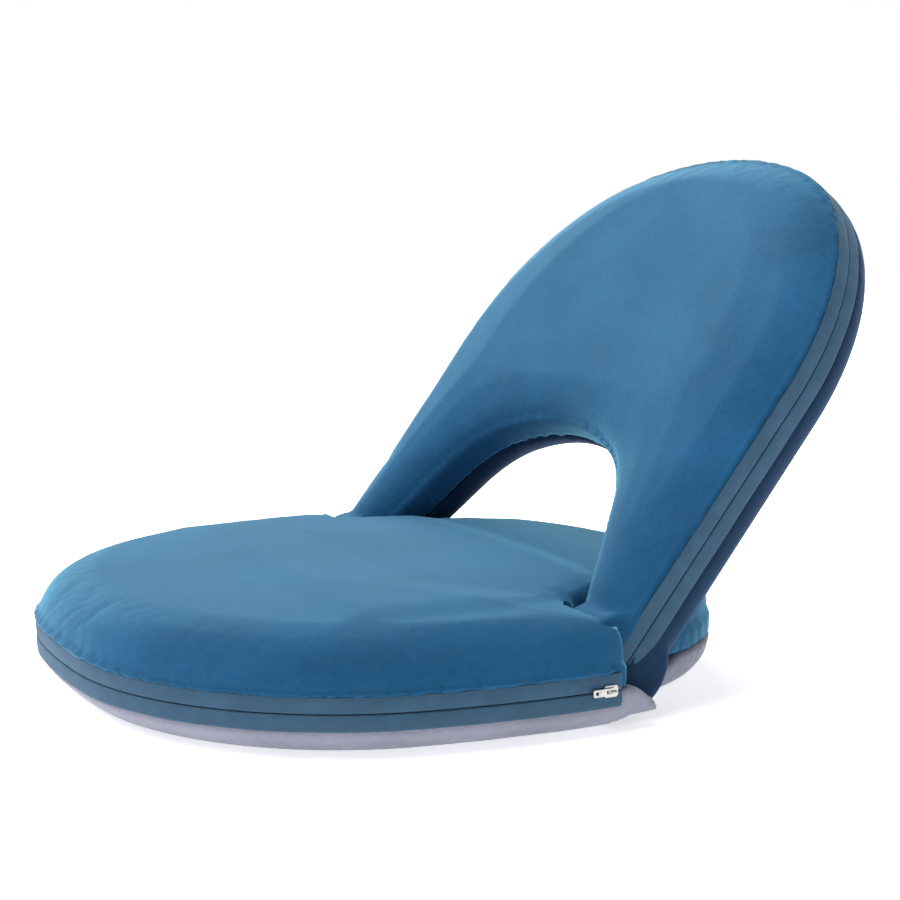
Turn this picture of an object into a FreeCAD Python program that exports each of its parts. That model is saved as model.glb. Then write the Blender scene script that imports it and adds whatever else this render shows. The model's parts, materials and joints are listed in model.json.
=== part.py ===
import FreeCAD, Part
import Sketcher
import math
import os

from FreeCAD import Placement, Rotation, Vector

# Folding floor chair: a round padded seat whose rear runs through the arch of an egg-shaped
# padded back. Millimetres, +Z up, the person sitting faces -Y and has +X on the left.
# The origin is on the floor, under the middle of the fold axis.

os.makedirs("parts", exist_ok=True)
doc = FreeCAD.newDocument("folding_floor_chair")
dims = doc.addObject("Spreadsheet::Sheet", "dims")

DRIVING = {
    # pose and fold axis
    "recline_angle": 52.5,
    "pivot_height": 43,
    "body_clearance": 0.4,
    # seat outline: side, corner and front arcs, all tangent
    "seat_width": 520,
    "seat_side_radius": 625,
    "seat_front_radius": 624,
    "seat_corner_radius": 217,
    "seat_widest_y": -40,
    "seat_front": 336,
    "shoulder_y": -8,
    "seat_top_height": 80,
    "seat_seam_height": 32,
    "seat_top_round": 34,
    "seat_bottom_round": 30,
    # rear of the seat, which runs through the arch and behind the legs
    "tail_step": 50,
    "tail_width": "=seat_width - 2 * tail_step",
    "tail_end": 180,
    "tail_corner_radius": 155,
    "tail_end_radius": 262,
    "leg_slot_gap": 1.5,
    # lip of the seat's underside that reaches back beside each heel
    "lip_start": 5,
    "lip_slant": 54,
    "lip_end": 26,
    "lip_gap": 4,
    # back outline, measured up the back from the fold axis
    "back_step": 14,
    "foot_step": 20,
    "back_width": "=seat_width - 2 * back_step",
    "back_foot_width": "=seat_width - 2 * foot_step",
    "back_top": 435,
    "back_corner_radius": 201,
    "back_top_radius": 371,
    "back_front_depth": 30,
    "back_rear_depth": 38,
    "back_front_round": 23,
    "back_rear_round": 22,
    "leg_width": 52,
    "arch_foot_width": "=back_foot_width - 2 * leg_width",
    "arch_width": 290,
    "arch_top": 163,
    "arch_corner_radius": 95,
    "arch_top_radius": 220,
    "heel_radius": "=back_rear_depth",
    # cloth and zippers
    "velvet_thickness": 2,
    "nylon_thickness": 1.5,
    "tape_thickness": 1,
    "tape_width": 10.5,
    "chain_slit": 1,
    "coil_depth": 1.8,
    "coil_height": 1.6,
    "band_start": 8,
    "back_band_start": 12,
    "zipper_groove": 6.5,
    "zipper_groove_height": 14,
    # steel tube frame
    "tube_radius": 8,
    "tube_wall": 1.2,
    "frame_inset": 36,
    "frame_corner_radius": 180,
    "seat_bend_radius": 36,
    "rail_step": 42,
    "rear_tube_inset": 40,
    "rear_bend_radius": 110,
    "rail_bend_radius": 34,
    "shoulder_tube_y": -62,
    "back_bend_radius": 60,
    "back_top_bend_radius": 165,
    "leg_bend_start": 128,
    "leg_bend_end": 205,
    "cross_tube_radius": 6,
    "seat_cross_y": -40,
    "back_cross_height": 192,
    "sheet_thickness": 1,
    "sleeve_gap": 0.1,
    "foam_gap": 0.5,
    # hinge and ratchet, one each side
    "bracket_thickness": 4,
    "bracket_half_length": 24,
    "bracket_round": 12,
    "pin_radius": 6,
    "pin_spigot_radius": 5,
    "pin_collar_radius": 8.5,
    "pin_collar_width": 2.5,
    "pin_head_radius": 9,
    "pin_head_width": 3,
    "arm_inset": 8,
    "arm_plate_x": "=arch_foot_width / 2 + arm_inset",
    "arm_plate_thickness": 3,
    "side_clearance": 0.3,
    "wheel_thickness": 5.2,
    "wheel_tip_radius": 17.5,
    "tooth_depth": 2.3,
    "tooth_pitch": 15,
    "contact_angle": -60,
    "pawl_reach": 24,
    "pawl_eye_radius": 5,
    "pawl_pin_radius": 3,
    "pawl_back_radius": 24,
    "pawl_clearance": 0.3,
    "bush_radius": 8,
    "bush_flange_radius": 10,
    "bush_flange_width": 0.7,
    "running_clearance": 0.05,
    "washer_thickness": 1,
    "arm_hub_radius": 20,
    "arm_length": 84,
    "arm_half_width": 11,
    "arm_rivet_radius": 3,
    "arm_rivet_head": 5,
    "arm_rivet_head_height": 1.4,
    "arm_rivet_first": 54,
    "arm_rivet_second": 72,
    "tube_end_width": 22,
    "tube_end_start": 44,
    "tube_neck_length": 14,
    "spring_post_v": 46,
    "spring_post_w": -15,
    "spring_post_radius": 2.5,
    "spring_strip": 0.6,
    "spring_width": 4,
    "hinge_pocket_radius": 28,
    "spacer_radius": 7.6,
    # zipper sliders
    "slider_length": 11,
    "slider_height": 8,
    "slider_wing": 1.2,
    "slider_gap": 0.35,
    "slider_web": 0.6,
    "slider_web_length": 4,
    "bail_radius": 0.6,
    "bail_rise": 2.6,
    "bail_reach": 3.2,
    "pull_length": 15,
    "pull_width": 5,
    "pull_thickness": 1,
    "stop_length": 3,
    "back_slider_height": 22,
}
for row, (alias, value) in enumerate(DRIVING.items(), 1):
    dims.set("A%d" % row, alias)
    dims.set("B%d" % row, str(value))
    dims.setAlias("B%d" % row, alias)
doc.recompute()


def size(expression):
    """The value of a sheet cell or of a sum of cells."""
    return float(dims.evalExpression(expression))


class Sizes:
    def __getattr__(self, name):
        return float(dims.get(name))


d = Sizes()
AXIS_X = Vector(1, 0, 0)
FAR = 900

fold_axis = Placement(Vector(0, 0, d.pivot_height), Rotation())
back_rest = Placement(Vector(0, 0, d.pivot_height), Rotation(AXIS_X, d.recline_angle))
nodes = []


def feature(label, shape, placement=None):
    """A part made by Part's own functions, placed after its shape is set."""
    item = doc.addObject("Part::Feature", label)
    item.Label = label
    item.Shape = shape
    if placement:
        item.Placement = placement
    nodes.append(item)
    return item


# Flat outlines and solids drawn from them

def arc_between(centre, radius, start, end):
    """Arc about centre from one angle to another, in degrees."""
    spots = []
    for angle in (start, (start + end) / 2, end):
        turn = math.radians(angle)
        spots.append(centre + Vector(radius * math.cos(turn), radius * math.sin(turn), 0))
    return Part.Arc(*spots).toShape()


def line(a, b):
    return Part.LineSegment(a, b).toShape()


def meeting_centre(a, reach_a, b, reach_b):
    """The point at one distance from a and another from b, on the +X side."""
    way = b - a
    along = (reach_a ** 2 - reach_b ** 2 + way.Length ** 2) / (2 * way.Length)
    across = math.sqrt(reach_a ** 2 - along ** 2)
    way.normalize()
    spots = [a + way * along + Vector(-way.y, way.x, 0) * k for k in (across, -across)]
    return max(spots, key=lambda spot: spot.x)


def angle_from(a, b):
    """Direction from a to b, in degrees from +X."""
    return math.degrees(math.atan2(b.y - a.y, b.x - a.x))


SHOULDER_TURN = 8
side_centre = Vector(d.seat_width / 2 - d.seat_side_radius, d.seat_widest_y, 0)
front_centre = Vector(0, d.seat_front_radius - d.seat_front, 0)
corner_centre = meeting_centre(
    side_centre, d.seat_side_radius - d.seat_corner_radius,
    front_centre, d.seat_front_radius - d.seat_corner_radius)


def disc_wire(inset):
    """Seat disc seen from above, drawn inset; a straight line closes it behind the shoulders."""
    low_turn = angle_from(side_centre, corner_centre)
    front_turn = angle_from(front_centre, corner_centre)
    near = [
        arc_between(side_centre, d.seat_side_radius - inset, SHOULDER_TURN, low_turn),
        arc_between(corner_centre, d.seat_corner_radius - inset, low_turn, front_turn)]
    front = arc_between(front_centre, d.seat_front_radius - inset, front_turn, -180 - front_turn)
    far = [mirrored(edge) for edge in near]
    ends = [edge.Vertexes[0].Point for edge in (near[0], far[0])]
    return Part.Wire(Part.__sortEdges__(near + [front] + far + [line(*ends)]))


def dome_wire(half_width, foot_half, corner_radius, end_radius, end, base, inset, foot_y=0):
    """Flat-based dome drawn inset: side lines through the foot, a corner arc each side, an end arc."""
    reach = half_width - corner_radius
    corner_y = end - end_radius + math.sqrt((end_radius - corner_radius) ** 2 - reach ** 2)
    corner = Vector(reach, corner_y, 0)
    away = Vector(foot_half, foot_y, 0) - corner
    lean = math.degrees(math.atan2(away.y, away.x))
    tangent = lean + math.degrees(math.acos(corner_radius / away.Length))
    end_centre = Vector(0, end - end_radius, 0)
    split = math.degrees(math.atan2(corner.y - end_centre.y, corner.x))
    normal = Vector(math.cos(math.radians(tangent)), math.sin(math.radians(tangent)), 0)
    touch = corner + normal * (corner_radius - inset)
    run = Vector(-normal.y, normal.x, 0)
    foot = touch + run * ((base - touch.y) / run.y)
    near = arc_between(corner, corner_radius - inset, tangent, split)
    top = arc_between(end_centre, end_radius - inset, split, 180 - split)
    opposite = Vector(-corner.x, corner.y, 0)
    far = arc_between(opposite, corner_radius - inset, 180 - split, 180 - tangent)
    other = Vector(-foot.x, foot.y, 0)
    edges = [line(foot, near.Vertexes[0].Point), near, top, far]
    edges += [line(far.Vertexes[-1].Point, other), line(other, foot)]
    return Part.Wire(edges)


def slab(wire, low, high):
    """A flat outline made solid between two levels."""
    face = Part.Face(wire)
    face.translate(Vector(0, 0, low))
    return face.extrude(Vector(0, 0, high - low))


def rounded_slab(wire, low, high, rounding, at_top):
    """A slab with its upper or lower rim rounded, all but the rims that run straight along X."""
    solid = slab(wire, low, high)
    return round_rim(solid, high if at_top else low, rounding)


def round_rim(solid, level, rounding, half_width=None):
    """Rounds the rim at a level, or only what of it lies within half_width of the middle."""
    reach = FAR if half_width is None else half_width
    rims = []
    for edge in solid.Edges:
        bounds = edge.BoundBox
        on_level = abs(bounds.ZMin - level) < 1e-6 and abs(bounds.ZMax - level) < 1e-6
        within = max(abs(bounds.XMin), abs(bounds.XMax)) < reach
        if on_level and within and bounds.YLength > 1e-6:
            rims.append(edge)
    return solid.makeFillet(rounding, rims)


def box(x0, x1, y0, y1, z0, z1):
    return Part.makeBox(x1 - x0, y1 - y0, z1 - z0, Vector(x0, y0, z0))


def rod(radius, x0, x1, y=0, z=0):
    """A round bar along X."""
    return Part.makeCylinder(radius, x1 - x0, Vector(x0, y, z), AXIS_X)


def ring(inner, outer, x0, x1, y=0, z=0):
    return rod(outer, x0, x1, y, z).cut(rod(inner, x0 - 1, x1 + 1, y, z))


def mirrored(shape):
    return shape.mirror(Vector(0, 0, 0), AXIS_X)


def both_sides(shape):
    return [shape, mirrored(shape)]


def one_solid(shape):
    """The clean single solid of a boolean result, without the slivers beside it."""
    return max(shape.removeSplitter().Solids, key=lambda solid: solid.Volume)


# Seat and back blocks, from which cloth, foam and pads are cut

HEEL_ROOM = d.heel_radius + d.body_clearance
KNUCKLE_IN = d.arch_foot_width / 2
KNUCKLE_OUT = d.back_foot_width / 2
TAIL_BASE = -70
LEG_BASE = -5
LOW_REST = -30


def back_outline(inset):
    return dome_wire(
        d.back_width / 2, KNUCKLE_OUT, d.back_corner_radius, d.back_top_radius,
        d.back_top, LEG_BASE, inset)


def arch_outline(outset, base=LEG_BASE - 1):
    return dome_wire(
        d.arch_width / 2, KNUCKLE_IN, d.arch_corner_radius, d.arch_top_radius,
        d.arch_top, base, -outset)


def leg_slot(gap, turn=0):
    """All the room in front of the back's rear face, but for what shows through its arch."""
    low = -d.back_rear_depth - gap
    around = box(-FAR, FAR, -FAR, FAR, low, FAR)
    slot = around.cut(slab(arch_outline(-gap, -200), low - 1, FAR + 1))
    slot.Placement = fold_axis.multiply(Placement(Vector(), Rotation(AXIS_X, d.recline_angle + turn)))
    return slot


def behind_lip(inset):
    """The room behind the slanted rear edge of the seat's underside, down to under the heels."""
    slanted = box(-FAR, FAR, -inset, FAR, -FAR, FAR)
    start = Vector(0, d.shoulder_y + d.lip_start, d.seat_seam_height)
    slanted.Placement = Placement(start, Rotation(AXIS_X, d.lip_slant))
    return slanted.fuse(box(-FAR, FAR, d.lip_end - inset, FAR, -FAR, FAR))


def seat_block(inset, upper):
    """Upper or lower half of the seat cushion, drawn inset from its outside."""
    seam = d.seat_seam_height
    low = seam if upper else inset
    high = d.seat_top_height - inset if upper else seam
    rounding = (d.seat_top_round if upper else d.seat_bottom_round) - inset
    shoulder = d.shoulder_y - inset
    whole_disc = rounded_slab(disc_wire(inset), low, high, rounding, upper)
    disc = whole_disc.cut(box(-FAR, FAR, shoulder, FAR, -FAR, FAR))
    tail_outline = dome_wire(
        d.tail_width / 2, d.tail_width / 2, d.tail_corner_radius, d.tail_end_radius,
        d.tail_end, TAIL_BASE, inset, TAIL_BASE)
    tail = rounded_slab(tail_outline, low, high, rounding, upper)
    tail = tail.cut(leg_slot(d.leg_slot_gap + inset))
    if not upper:
        tail = tail.cut(leg_slot(d.leg_slot_gap + inset, LOW_REST))
    block = disc.fuse(tail)
    lip_in = KNUCKLE_OUT + d.lip_gap + inset
    if not upper:
        lips = whole_disc.cut(behind_lip(inset)).cut(box(-lip_in, lip_in, -FAR, FAR, -FAR, FAR))
        block = block.fuse(lips)
    knuckle = rod(HEEL_ROOM + inset, KNUCKLE_IN - d.leg_slot_gap - inset, lip_in, 0, d.pivot_height)
    for tool in both_sides(knuckle):
        block = block.cut(tool)
    return one_solid(block)


def back_block(inset, front):
    """Front or rear half of the back cushion, lying flat along +Y with its front up."""
    depth = (d.back_front_depth if front else d.back_rear_depth) - inset
    rounding = (d.back_front_round if front else d.back_rear_round) - inset
    low, high = (0, depth) if front else (-depth, 0)
    panel = rounded_slab(back_outline(inset), low, high, rounding, front)
    level = high if front else low
    arch = slab(arch_outline(inset), low - 1, high + 1)
    panel = panel.cut(arch)
    panel = round_rim(panel, level, rounding, KNUCKLE_IN + 6 + inset)
    panel = panel.cut(box(-FAR, FAR, -FAR, 0, -FAR, FAR))
    if front:
        panel = panel.cut(in_front_of_shoulder(inset))
    half = box(-FAR, FAR, -FAR, FAR, 0, FAR) if front else box(-FAR, FAR, -FAR, FAR, -FAR, 0)
    heel = rod(d.heel_radius - inset, KNUCKLE_IN + inset, KNUCKLE_OUT - inset).common(half)
    for part in both_sides(heel):
        panel = panel.fuse(part)
    return one_solid(panel)


def in_front_of_shoulder(inset):
    """The room that the seat's shoulders take at rest, as the reclined back sees it."""
    limit = d.shoulder_y + d.body_clearance + inset
    room = box(-FAR, FAR, -FAR, limit, -FAR, FAR)
    room.Placement = back_rest.inverse()
    return room


# Tube paths

def rounded_path(points, radii, closed=False):
    """Straight runs joined by tangent arcs, one radius for each inner corner."""
    count = len(points)
    corners = range(count) if closed else range(1, count - 1)
    cuts = {}
    edges = []
    for i in corners:
        before = points[i - 1]
        here = points[i]
        after = points[(i + 1) % count]
        back_way = (before - here).normalize()
        on_way = (after - here).normalize()
        turn = math.pi - back_way.getAngle(on_way)
        trim = radii[i] * math.tan(turn / 2)
        middle = (back_way + on_way).normalize()
        deep = radii[i] / math.cos(turn / 2) - radii[i]
        cuts[i] = (here + back_way * trim, here + middle * deep, here + on_way * trim)
    if not closed:
        cuts[0] = (points[0],) * 3
        cuts[count - 1] = (points[-1],) * 3
    for i in range(count):
        if i in cuts and cuts[i][0].distanceToPoint(cuts[i][2]) > 1e-6:
            edges.append(Part.Arc(*cuts[i]).toShape())
        if closed or i < count - 1:
            edges.append(line(cuts[i][2], cuts[(i + 1) % count][0]))
    return Part.Wire(edges)


def pipe(path, radius):
    """A round bar along a path that starts where its first edge starts."""
    first = path.OrderedEdges[0]
    start = first.valueAt(first.FirstParameter)
    way = first.tangentAt(first.FirstParameter)
    section = Part.Wire(Part.makeCircle(radius, start, way))
    return path.makePipeShell([section], True, False)


def solid_of(shape):
    return shape if shape.ShapeType == "Solid" else Part.Solid(shape)


def seat_frame_path():
    wide = d.seat_width / 2 - d.frame_inset
    rail = RAIL_X
    front = -d.seat_front + d.frame_inset
    rear = d.tail_end - d.rear_tube_inset
    turn_y = d.shoulder_tube_y
    right = [(rail, rear), (rail, turn_y), (wide, turn_y), (wide, front)]
    radii = [d.rear_bend_radius, d.rail_bend_radius, d.seat_bend_radius, d.frame_corner_radius]
    left = [(-x, y) for x, y in reversed(right)]
    points = [Vector(x, y, 0) for x, y in [(0, rear)] + right + left]
    return points, [0] + radii + radii[::-1]


RAIL_X = KNUCKLE_IN - d.rail_step
BRACKET_X = RAIL_X + d.tube_radius
SEAT_LEVEL = Vector(0, 0, d.seat_seam_height)


def seat_pipe(radius):
    """The seat frame's closed loop as two halves, joined at the front and at the tail."""
    points, radii = seat_frame_path()
    middle = Vector(0, points[4].y, 0)
    half = points[:5] + [middle]
    path = rounded_path(half, radii[:5] + [0])
    one = solid_of(pipe(path, radius))
    whole = one.fuse(mirrored(one)).removeSplitter()
    whole.translate(SEAT_LEVEL)
    return whole


ARM_GAP_X = d.arm_plate_x + d.arm_plate_thickness
ARM_GAP = d.wheel_thickness + 2 * d.side_clearance
LEG_TUBE_X = ARM_GAP_X + ARM_GAP / 2
BACK_WIDE = d.back_width / 2 - d.frame_inset - 2


def back_frame_path(start):
    top = d.back_top - d.frame_inset
    right = [(LEG_TUBE_X, start), (LEG_TUBE_X, d.leg_bend_start)]
    right += [(BACK_WIDE, d.leg_bend_end), (BACK_WIDE, top)]
    points = [Vector(x, y, 0) for x, y in right]
    points += [Vector(-x, y, 0) for x, y in reversed(right)]
    radii = [0, d.back_bend_radius, d.back_bend_radius, d.back_top_bend_radius]
    return rounded_path(points, radii + radii[::-1])


TUBE_NECK = d.arm_length
TUBE_ROUND = TUBE_NECK + d.tube_neck_length


def back_pipe(radius):
    return solid_of(pipe(back_frame_path(TUBE_ROUND), radius))


def tube_neck(radius, half_gap, half_width):
    """The end of a leg of the tube, from round to pressed flat."""
    round_end = Part.Wire(Part.makeCircle(radius, Vector(LEG_TUBE_X, TUBE_ROUND, 0), Vector(0, 1, 0)))
    flat_y = TUBE_NECK
    side = half_width - half_gap
    a = Vector(LEG_TUBE_X + half_gap, flat_y, side)
    b = Vector(LEG_TUBE_X, flat_y, half_width)
    c = Vector(LEG_TUBE_X - half_gap, flat_y, side)
    lower = [Vector(p.x, p.y, -p.z) for p in (c, b, a)]
    flat = Part.Wire([
        Part.Arc(a, b, c).toShape(), line(c, lower[0]),
        Part.Arc(*lower).toShape(), line(lower[2], a)])
    neck = Part.makeLoft([flat, round_end], True)
    run = Part.Face(flat).extrude(Vector(0, d.tube_end_start - flat_y, 0))
    return solid_of(neck).fuse(run)


# Steel frames and their support sheets

def make_frames():
    half_gap = ARM_GAP / 2
    shell = seat_pipe(d.tube_radius)
    bore = seat_pipe(d.tube_radius - d.tube_wall)
    feature("seat_frame_tube", shell.cut(bore))
    cross = rod(d.cross_tube_radius, -RAIL_X, RAIL_X, d.seat_cross_y, d.seat_seam_height)
    hollow = rod(d.cross_tube_radius - d.tube_wall, -RAIL_X, RAIL_X, d.seat_cross_y, d.seat_seam_height)
    feature("seat_cross_tube", one_solid(cross.cut(hollow).cut(shell)))

    round_part = back_pipe(d.tube_radius)
    neck = tube_neck(d.tube_radius, half_gap, d.tube_end_width / 2)
    outer = round_part.fuse(both_sides(neck))
    inner = back_pipe(d.tube_radius - d.tube_wall)
    tube = one_solid(outer.cut(inner))
    for v in (d.arm_rivet_first, d.arm_rivet_second):
        for hole in both_sides(rod(d.arm_rivet_radius, ARM_GAP_X - 2, ARM_GAP_X + ARM_GAP + 2, v)):
            tube = tube.cut(hole)
    feature("back_frame_tube", one_solid(tube), back_rest)
    bar = rod(d.cross_tube_radius, -BACK_WIDE, BACK_WIDE, d.back_cross_height)
    hole = rod(d.cross_tube_radius - d.tube_wall, -BACK_WIDE, BACK_WIDE, d.back_cross_height)
    feature("back_cross_tube", one_solid(bar.cut(hole).cut(outer)), back_rest)


def sleeve_sizes():
    inner = d.tube_radius + d.sleeve_gap
    return inner, inner + d.sheet_thickness


def make_support_sheets():
    """Woven sheets laced over the tubes by a sewn sleeve along their rims."""
    inner, outer = sleeve_sizes()
    seat_low = d.seat_seam_height + inner
    front_only = box(-FAR, FAR, -FAR, d.shoulder_tube_y - d.seat_bend_radius, -FAR, FAR)
    sheet = slab(disc_wire(d.frame_inset), seat_low, seat_low + d.sheet_thickness)
    sleeve = seat_pipe(outer)
    whole = sheet.fuse(sleeve).cut(seat_pipe(inner)).common(front_only)
    feature("seat_support_sheet", one_solid(whole))

    above = box(-FAR, FAR, d.back_cross_height + d.cross_tube_radius + 1, FAR, -FAR, FAR)
    plain = slab(back_outline(d.frame_inset + 2), inner, outer)
    whole = plain.fuse(back_pipe(outer)).cut(back_pipe(inner)).common(above)
    feature("back_support_sheet", one_solid(whole), back_rest)


# Room that the hinges and tubes need inside the padding

def hinge_pocket():
    """Room in one leg of the back for the hinge, in the back's own lie."""
    x0 = d.arm_plate_x - d.bush_flange_width - d.side_clearance
    x1 = PIN_END_X + d.side_clearance
    hub = rod(d.hinge_pocket_radius, x0, x1)
    half = d.arm_half_width + 10
    strap = box(x0, x1, 0, TUBE_ROUND, -half - 2, half)
    hole = rod(d.spacer_radius + d.side_clearance, d.arch_width / 2, x0 + 1)
    return hub.fuse([strap, hole])


def seat_hinge_room():
    """Room in one side of the tail for the bracket and pin."""
    x0 = BRACKET_X - 1
    x1 = BRACKET_X + d.bracket_thickness + d.pin_collar_width + d.foam_gap
    high = d.pivot_height + d.bracket_round + d.foam_gap
    half = d.bracket_half_length + d.foam_gap
    slot = box(x0, x1, -half, half, 0.5 * d.seat_seam_height, high)
    hole = rod(d.pin_radius + d.foam_gap, x1 - 1, FAR, 0, d.pivot_height)
    return slot.fuse(hole)


PIN_HEAD_X = ARM_GAP_X + ARM_GAP + d.arm_plate_thickness + d.bush_flange_width + d.washer_thickness
PIN_HEAD_X = PIN_HEAD_X + 3 * d.side_clearance
PIN_END_X = PIN_HEAD_X + d.pin_head_width


def cut_all(shape, tools):
    for tool in tools:
        shape = shape.cut(tool)
    return one_solid(shape)


def band_room(outline, depth, low, high, start):
    """The strip just inside an outline that the zipper takes, in front of or above its start."""
    rim = slab(outline(-1), low, high).cut(slab(outline(depth), low - 1, high + 1))
    return rim.common(start)


def seat_band(depth, low, high):
    start = box(-FAR, FAR, -FAR, d.shoulder_y - d.band_start, -FAR, FAR)
    seam = d.seat_seam_height
    return band_room(disc_wire, depth, seam + low, seam + high, start)


def back_band(depth, low, high):
    start = box(-FAR, FAR, d.back_band_start, FAR, -FAR, FAR)
    return band_room(back_outline, depth, low, high, start)


HALF_SLIT = d.chain_slit / 2
BAND_HALF = HALF_SLIT + d.tape_width
GROOVE_HALF = d.zipper_groove_height / 2


# Soft parts

def make_seat_cushion():
    velvet = d.velvet_thickness
    nylon = d.nylon_thickness
    rooms = both_sides(seat_hinge_room())
    tube_room = seat_pipe(sleeve_sizes()[1] + d.foam_gap)
    cross_room = rod(d.cross_tube_radius + d.foam_gap, -RAIL_X, RAIL_X, d.seat_cross_y, d.seat_seam_height)
    groove = seat_band(d.zipper_groove, -GROOVE_HALF, GROOVE_HALF)
    inner = seat_block(velvet, True)
    pin_holes = both_sides(rod(d.pin_radius + d.foam_gap, BRACKET_X, FAR, 0, d.pivot_height))
    cover = seat_block(0, True).cut(inner)
    cover = cut_all(cover, [seat_band(velvet + 1, -1, BAND_HALF)] + pin_holes)
    feature("seat_top_cover", cover)
    sheet_top = sleeve_sizes()[1]
    sheet_room = slab(disc_wire(d.frame_inset), d.seat_seam_height - 1,
                      d.seat_seam_height + sheet_top + d.sleeve_gap)
    sheet_room = sheet_room.common(box(-FAR, FAR, -FAR, d.shoulder_tube_y, -FAR, FAR))
    foam = cut_all(inner, [tube_room, cross_room, sheet_room, groove] + rooms)
    feature("seat_foam", foam)

    core = seat_block(nylon, False)
    shell = seat_block(0, False).cut(core)
    shell = cut_all(shell, [seat_band(nylon + 1, -BAND_HALF, 1)] + pin_holes)
    feature("seat_bottom_cover", shell)
    pad = cut_all(core, [tube_room, cross_room, groove] + rooms)
    feature("seat_base_pad", pad)


def make_back_cushion():
    velvet = d.velvet_thickness
    rooms = both_sides(hinge_pocket())
    tube_room = back_pipe(sleeve_sizes()[1] + d.foam_gap)
    cross_room = rod(d.cross_tube_radius + d.foam_gap, -BACK_WIDE, BACK_WIDE, d.back_cross_height)
    sheet_room = slab(back_outline(d.frame_inset + 1), -1, sleeve_sizes()[1] + d.sleeve_gap)
    sheet_room = sheet_room.common(box(-FAR, FAR, d.back_cross_height, FAR, -FAR, FAR))
    groove = back_band(d.zipper_groove, -GROOVE_HALF, GROOVE_HALF)
    pin_holes = both_sides(rod(d.spacer_radius + d.side_clearance, 0, d.arm_plate_x))
    for front in (True, False):
        outside = back_block(0, front)
        inside = back_block(velvet, front)
        low, high = (-1, BAND_HALF) if front else (-BAND_HALF, 1)
        cover = cut_all(outside.cut(inside), [back_band(velvet + 1, low, high)] + pin_holes)
        tools = [tube_room, cross_room, groove] + rooms
        if front:
            tools.append(sheet_room)
        padding = cut_all(inside, tools)
        feature("back_front_cover" if front else "back_rear_cover", cover, back_rest)
        feature("back_foam" if front else "back_rear_pad", padding, back_rest)


def make_zippers():
    """Tapes outside, coils behind them, metal stops at the ends of the coils."""
    thick = d.tape_thickness
    coil = thick + d.coil_depth
    for side, name in ((1, "upper"), (-1, "lower")):
        low, high = sorted((side * HALF_SLIT, side * BAND_HALF))
        tape = seat_band(thick, low, high).common(slab(disc_wire(0), -FAR, FAR))
        feature("seat_zipper_tape_" + name, tape)
    for side, name in ((1, "front"), (-1, "rear")):
        low, high = sorted((side * HALF_SLIT, side * BAND_HALF))
        tape = back_band(thick, low, high).common(slab(back_outline(0), -FAR, FAR))
        feature("back_zipper_tape_" + name, tape, back_rest)

    def rows(band, rim, clear):
        made = []
        for side in (1, -1):
            low, high = sorted((side * HALF_SLIT, side * (HALF_SLIT + d.coil_height)))
            bead = band(coil, low, high).common(rim).common(clear)
            made.append(bead)
        return made

    stop = d.stop_length
    seat_end = d.shoulder_y - d.band_start
    seat_core = slab(disc_wire(thick), -FAR, FAR)
    seat_clear = box(-FAR, FAR, -FAR, seat_end - stop, -FAR, FAR)
    feature("seat_zipper_coil", Part.Compound(rows(seat_band, seat_core, seat_clear)))
    seat_stops = box(-FAR, FAR, seat_end - stop, seat_end, -FAR, FAR)
    feature("seat_zipper_stops", stop_blocks(seat_band, seat_core, seat_stops, coil))
    back_core = slab(back_outline(thick), -FAR, FAR)
    back_clear = box(-FAR, FAR, d.back_band_start + stop, FAR, -FAR, FAR)
    feature("back_zipper_coil", Part.Compound(rows(back_band, back_core, back_clear)), back_rest)
    back_stops = box(-FAR, FAR, d.back_band_start, d.back_band_start + stop, -FAR, FAR)
    feature("back_zipper_stops", stop_blocks(back_band, back_core, back_stops, coil), back_rest)


def stop_blocks(band, core, span, coil):
    half = HALF_SLIT + d.coil_height
    return Part.Compound(band(coil, -half, half).common(core).common(span).Solids)


# Sketch helpers for the machined and stamped pieces. Coordinates and sizes are sheet expressions.

def new_body(label, placement, turned):
    body = doc.addObject("PartDesign::Body", label)
    body.Label = label
    body.Placement = placement
    if placement is not None and turned is not None:
        body.setExpression("Placement.Base.z", "dims.pivot_height")
        if turned:
            body.setExpression("Placement.Rotation.Angle", "dims.recline_angle")
    nodes.append(body)
    return body


def plane(body, role):
    return next(item for item in body.Origin.OriginFeatures if item.Role == role)


def new_sketch(body, role, offset):
    sketch = body.newObject("Sketcher::SketchObject", body.Label + "_sketch")
    sketch.AttachmentSupport = [(plane(body, role), "")]
    sketch.MapMode = "FlatFace"
    if offset:
        sketch.setExpression("AttachmentOffset.Base.z", offset)
    return sketch


def value(sketch, expression):
    return float(sketch.evalExpression(expression))


def pin_down(sketch, geometry, vertex, x, y):
    """Holds a sketch point at two expressions from the origin."""
    for kind, expression in (("DistanceX", x), ("DistanceY", y)):
        index = sketch.addConstraint(
            Sketcher.Constraint(kind, -1, 1, geometry, vertex, value(sketch, expression)))
        sketch.setExpression("Constraints[%d]" % index, expression)


def add_circle(sketch, x, y, radius):
    centre = Vector(value(sketch, x), value(sketch, y), 0)
    geometry = sketch.addGeometry(Part.Circle(centre, Vector(0, 0, 1), value(sketch, radius)))
    pin_down(sketch, geometry, 3, x, y)
    index = sketch.addConstraint(Sketcher.Constraint("Radius", geometry, value(sketch, radius)))
    sketch.setExpression("Constraints[%d]" % index, radius)


def add_polygon(sketch, points):
    spots = [Vector(value(sketch, x), value(sketch, y), 0) for x, y in points]
    count = len(spots)
    first = sketch.GeometryCount
    for i in range(count):
        sketch.addGeometry(Part.LineSegment(spots[i], spots[(i + 1) % count]))
    for i in range(count):
        after = first + (i + 1) % count
        sketch.addConstraint(Sketcher.Constraint("Coincident", first + i, 2, after, 1))
    for i, (x, y) in enumerate(points):
        pin_down(sketch, first + i, 1, x, y)


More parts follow.
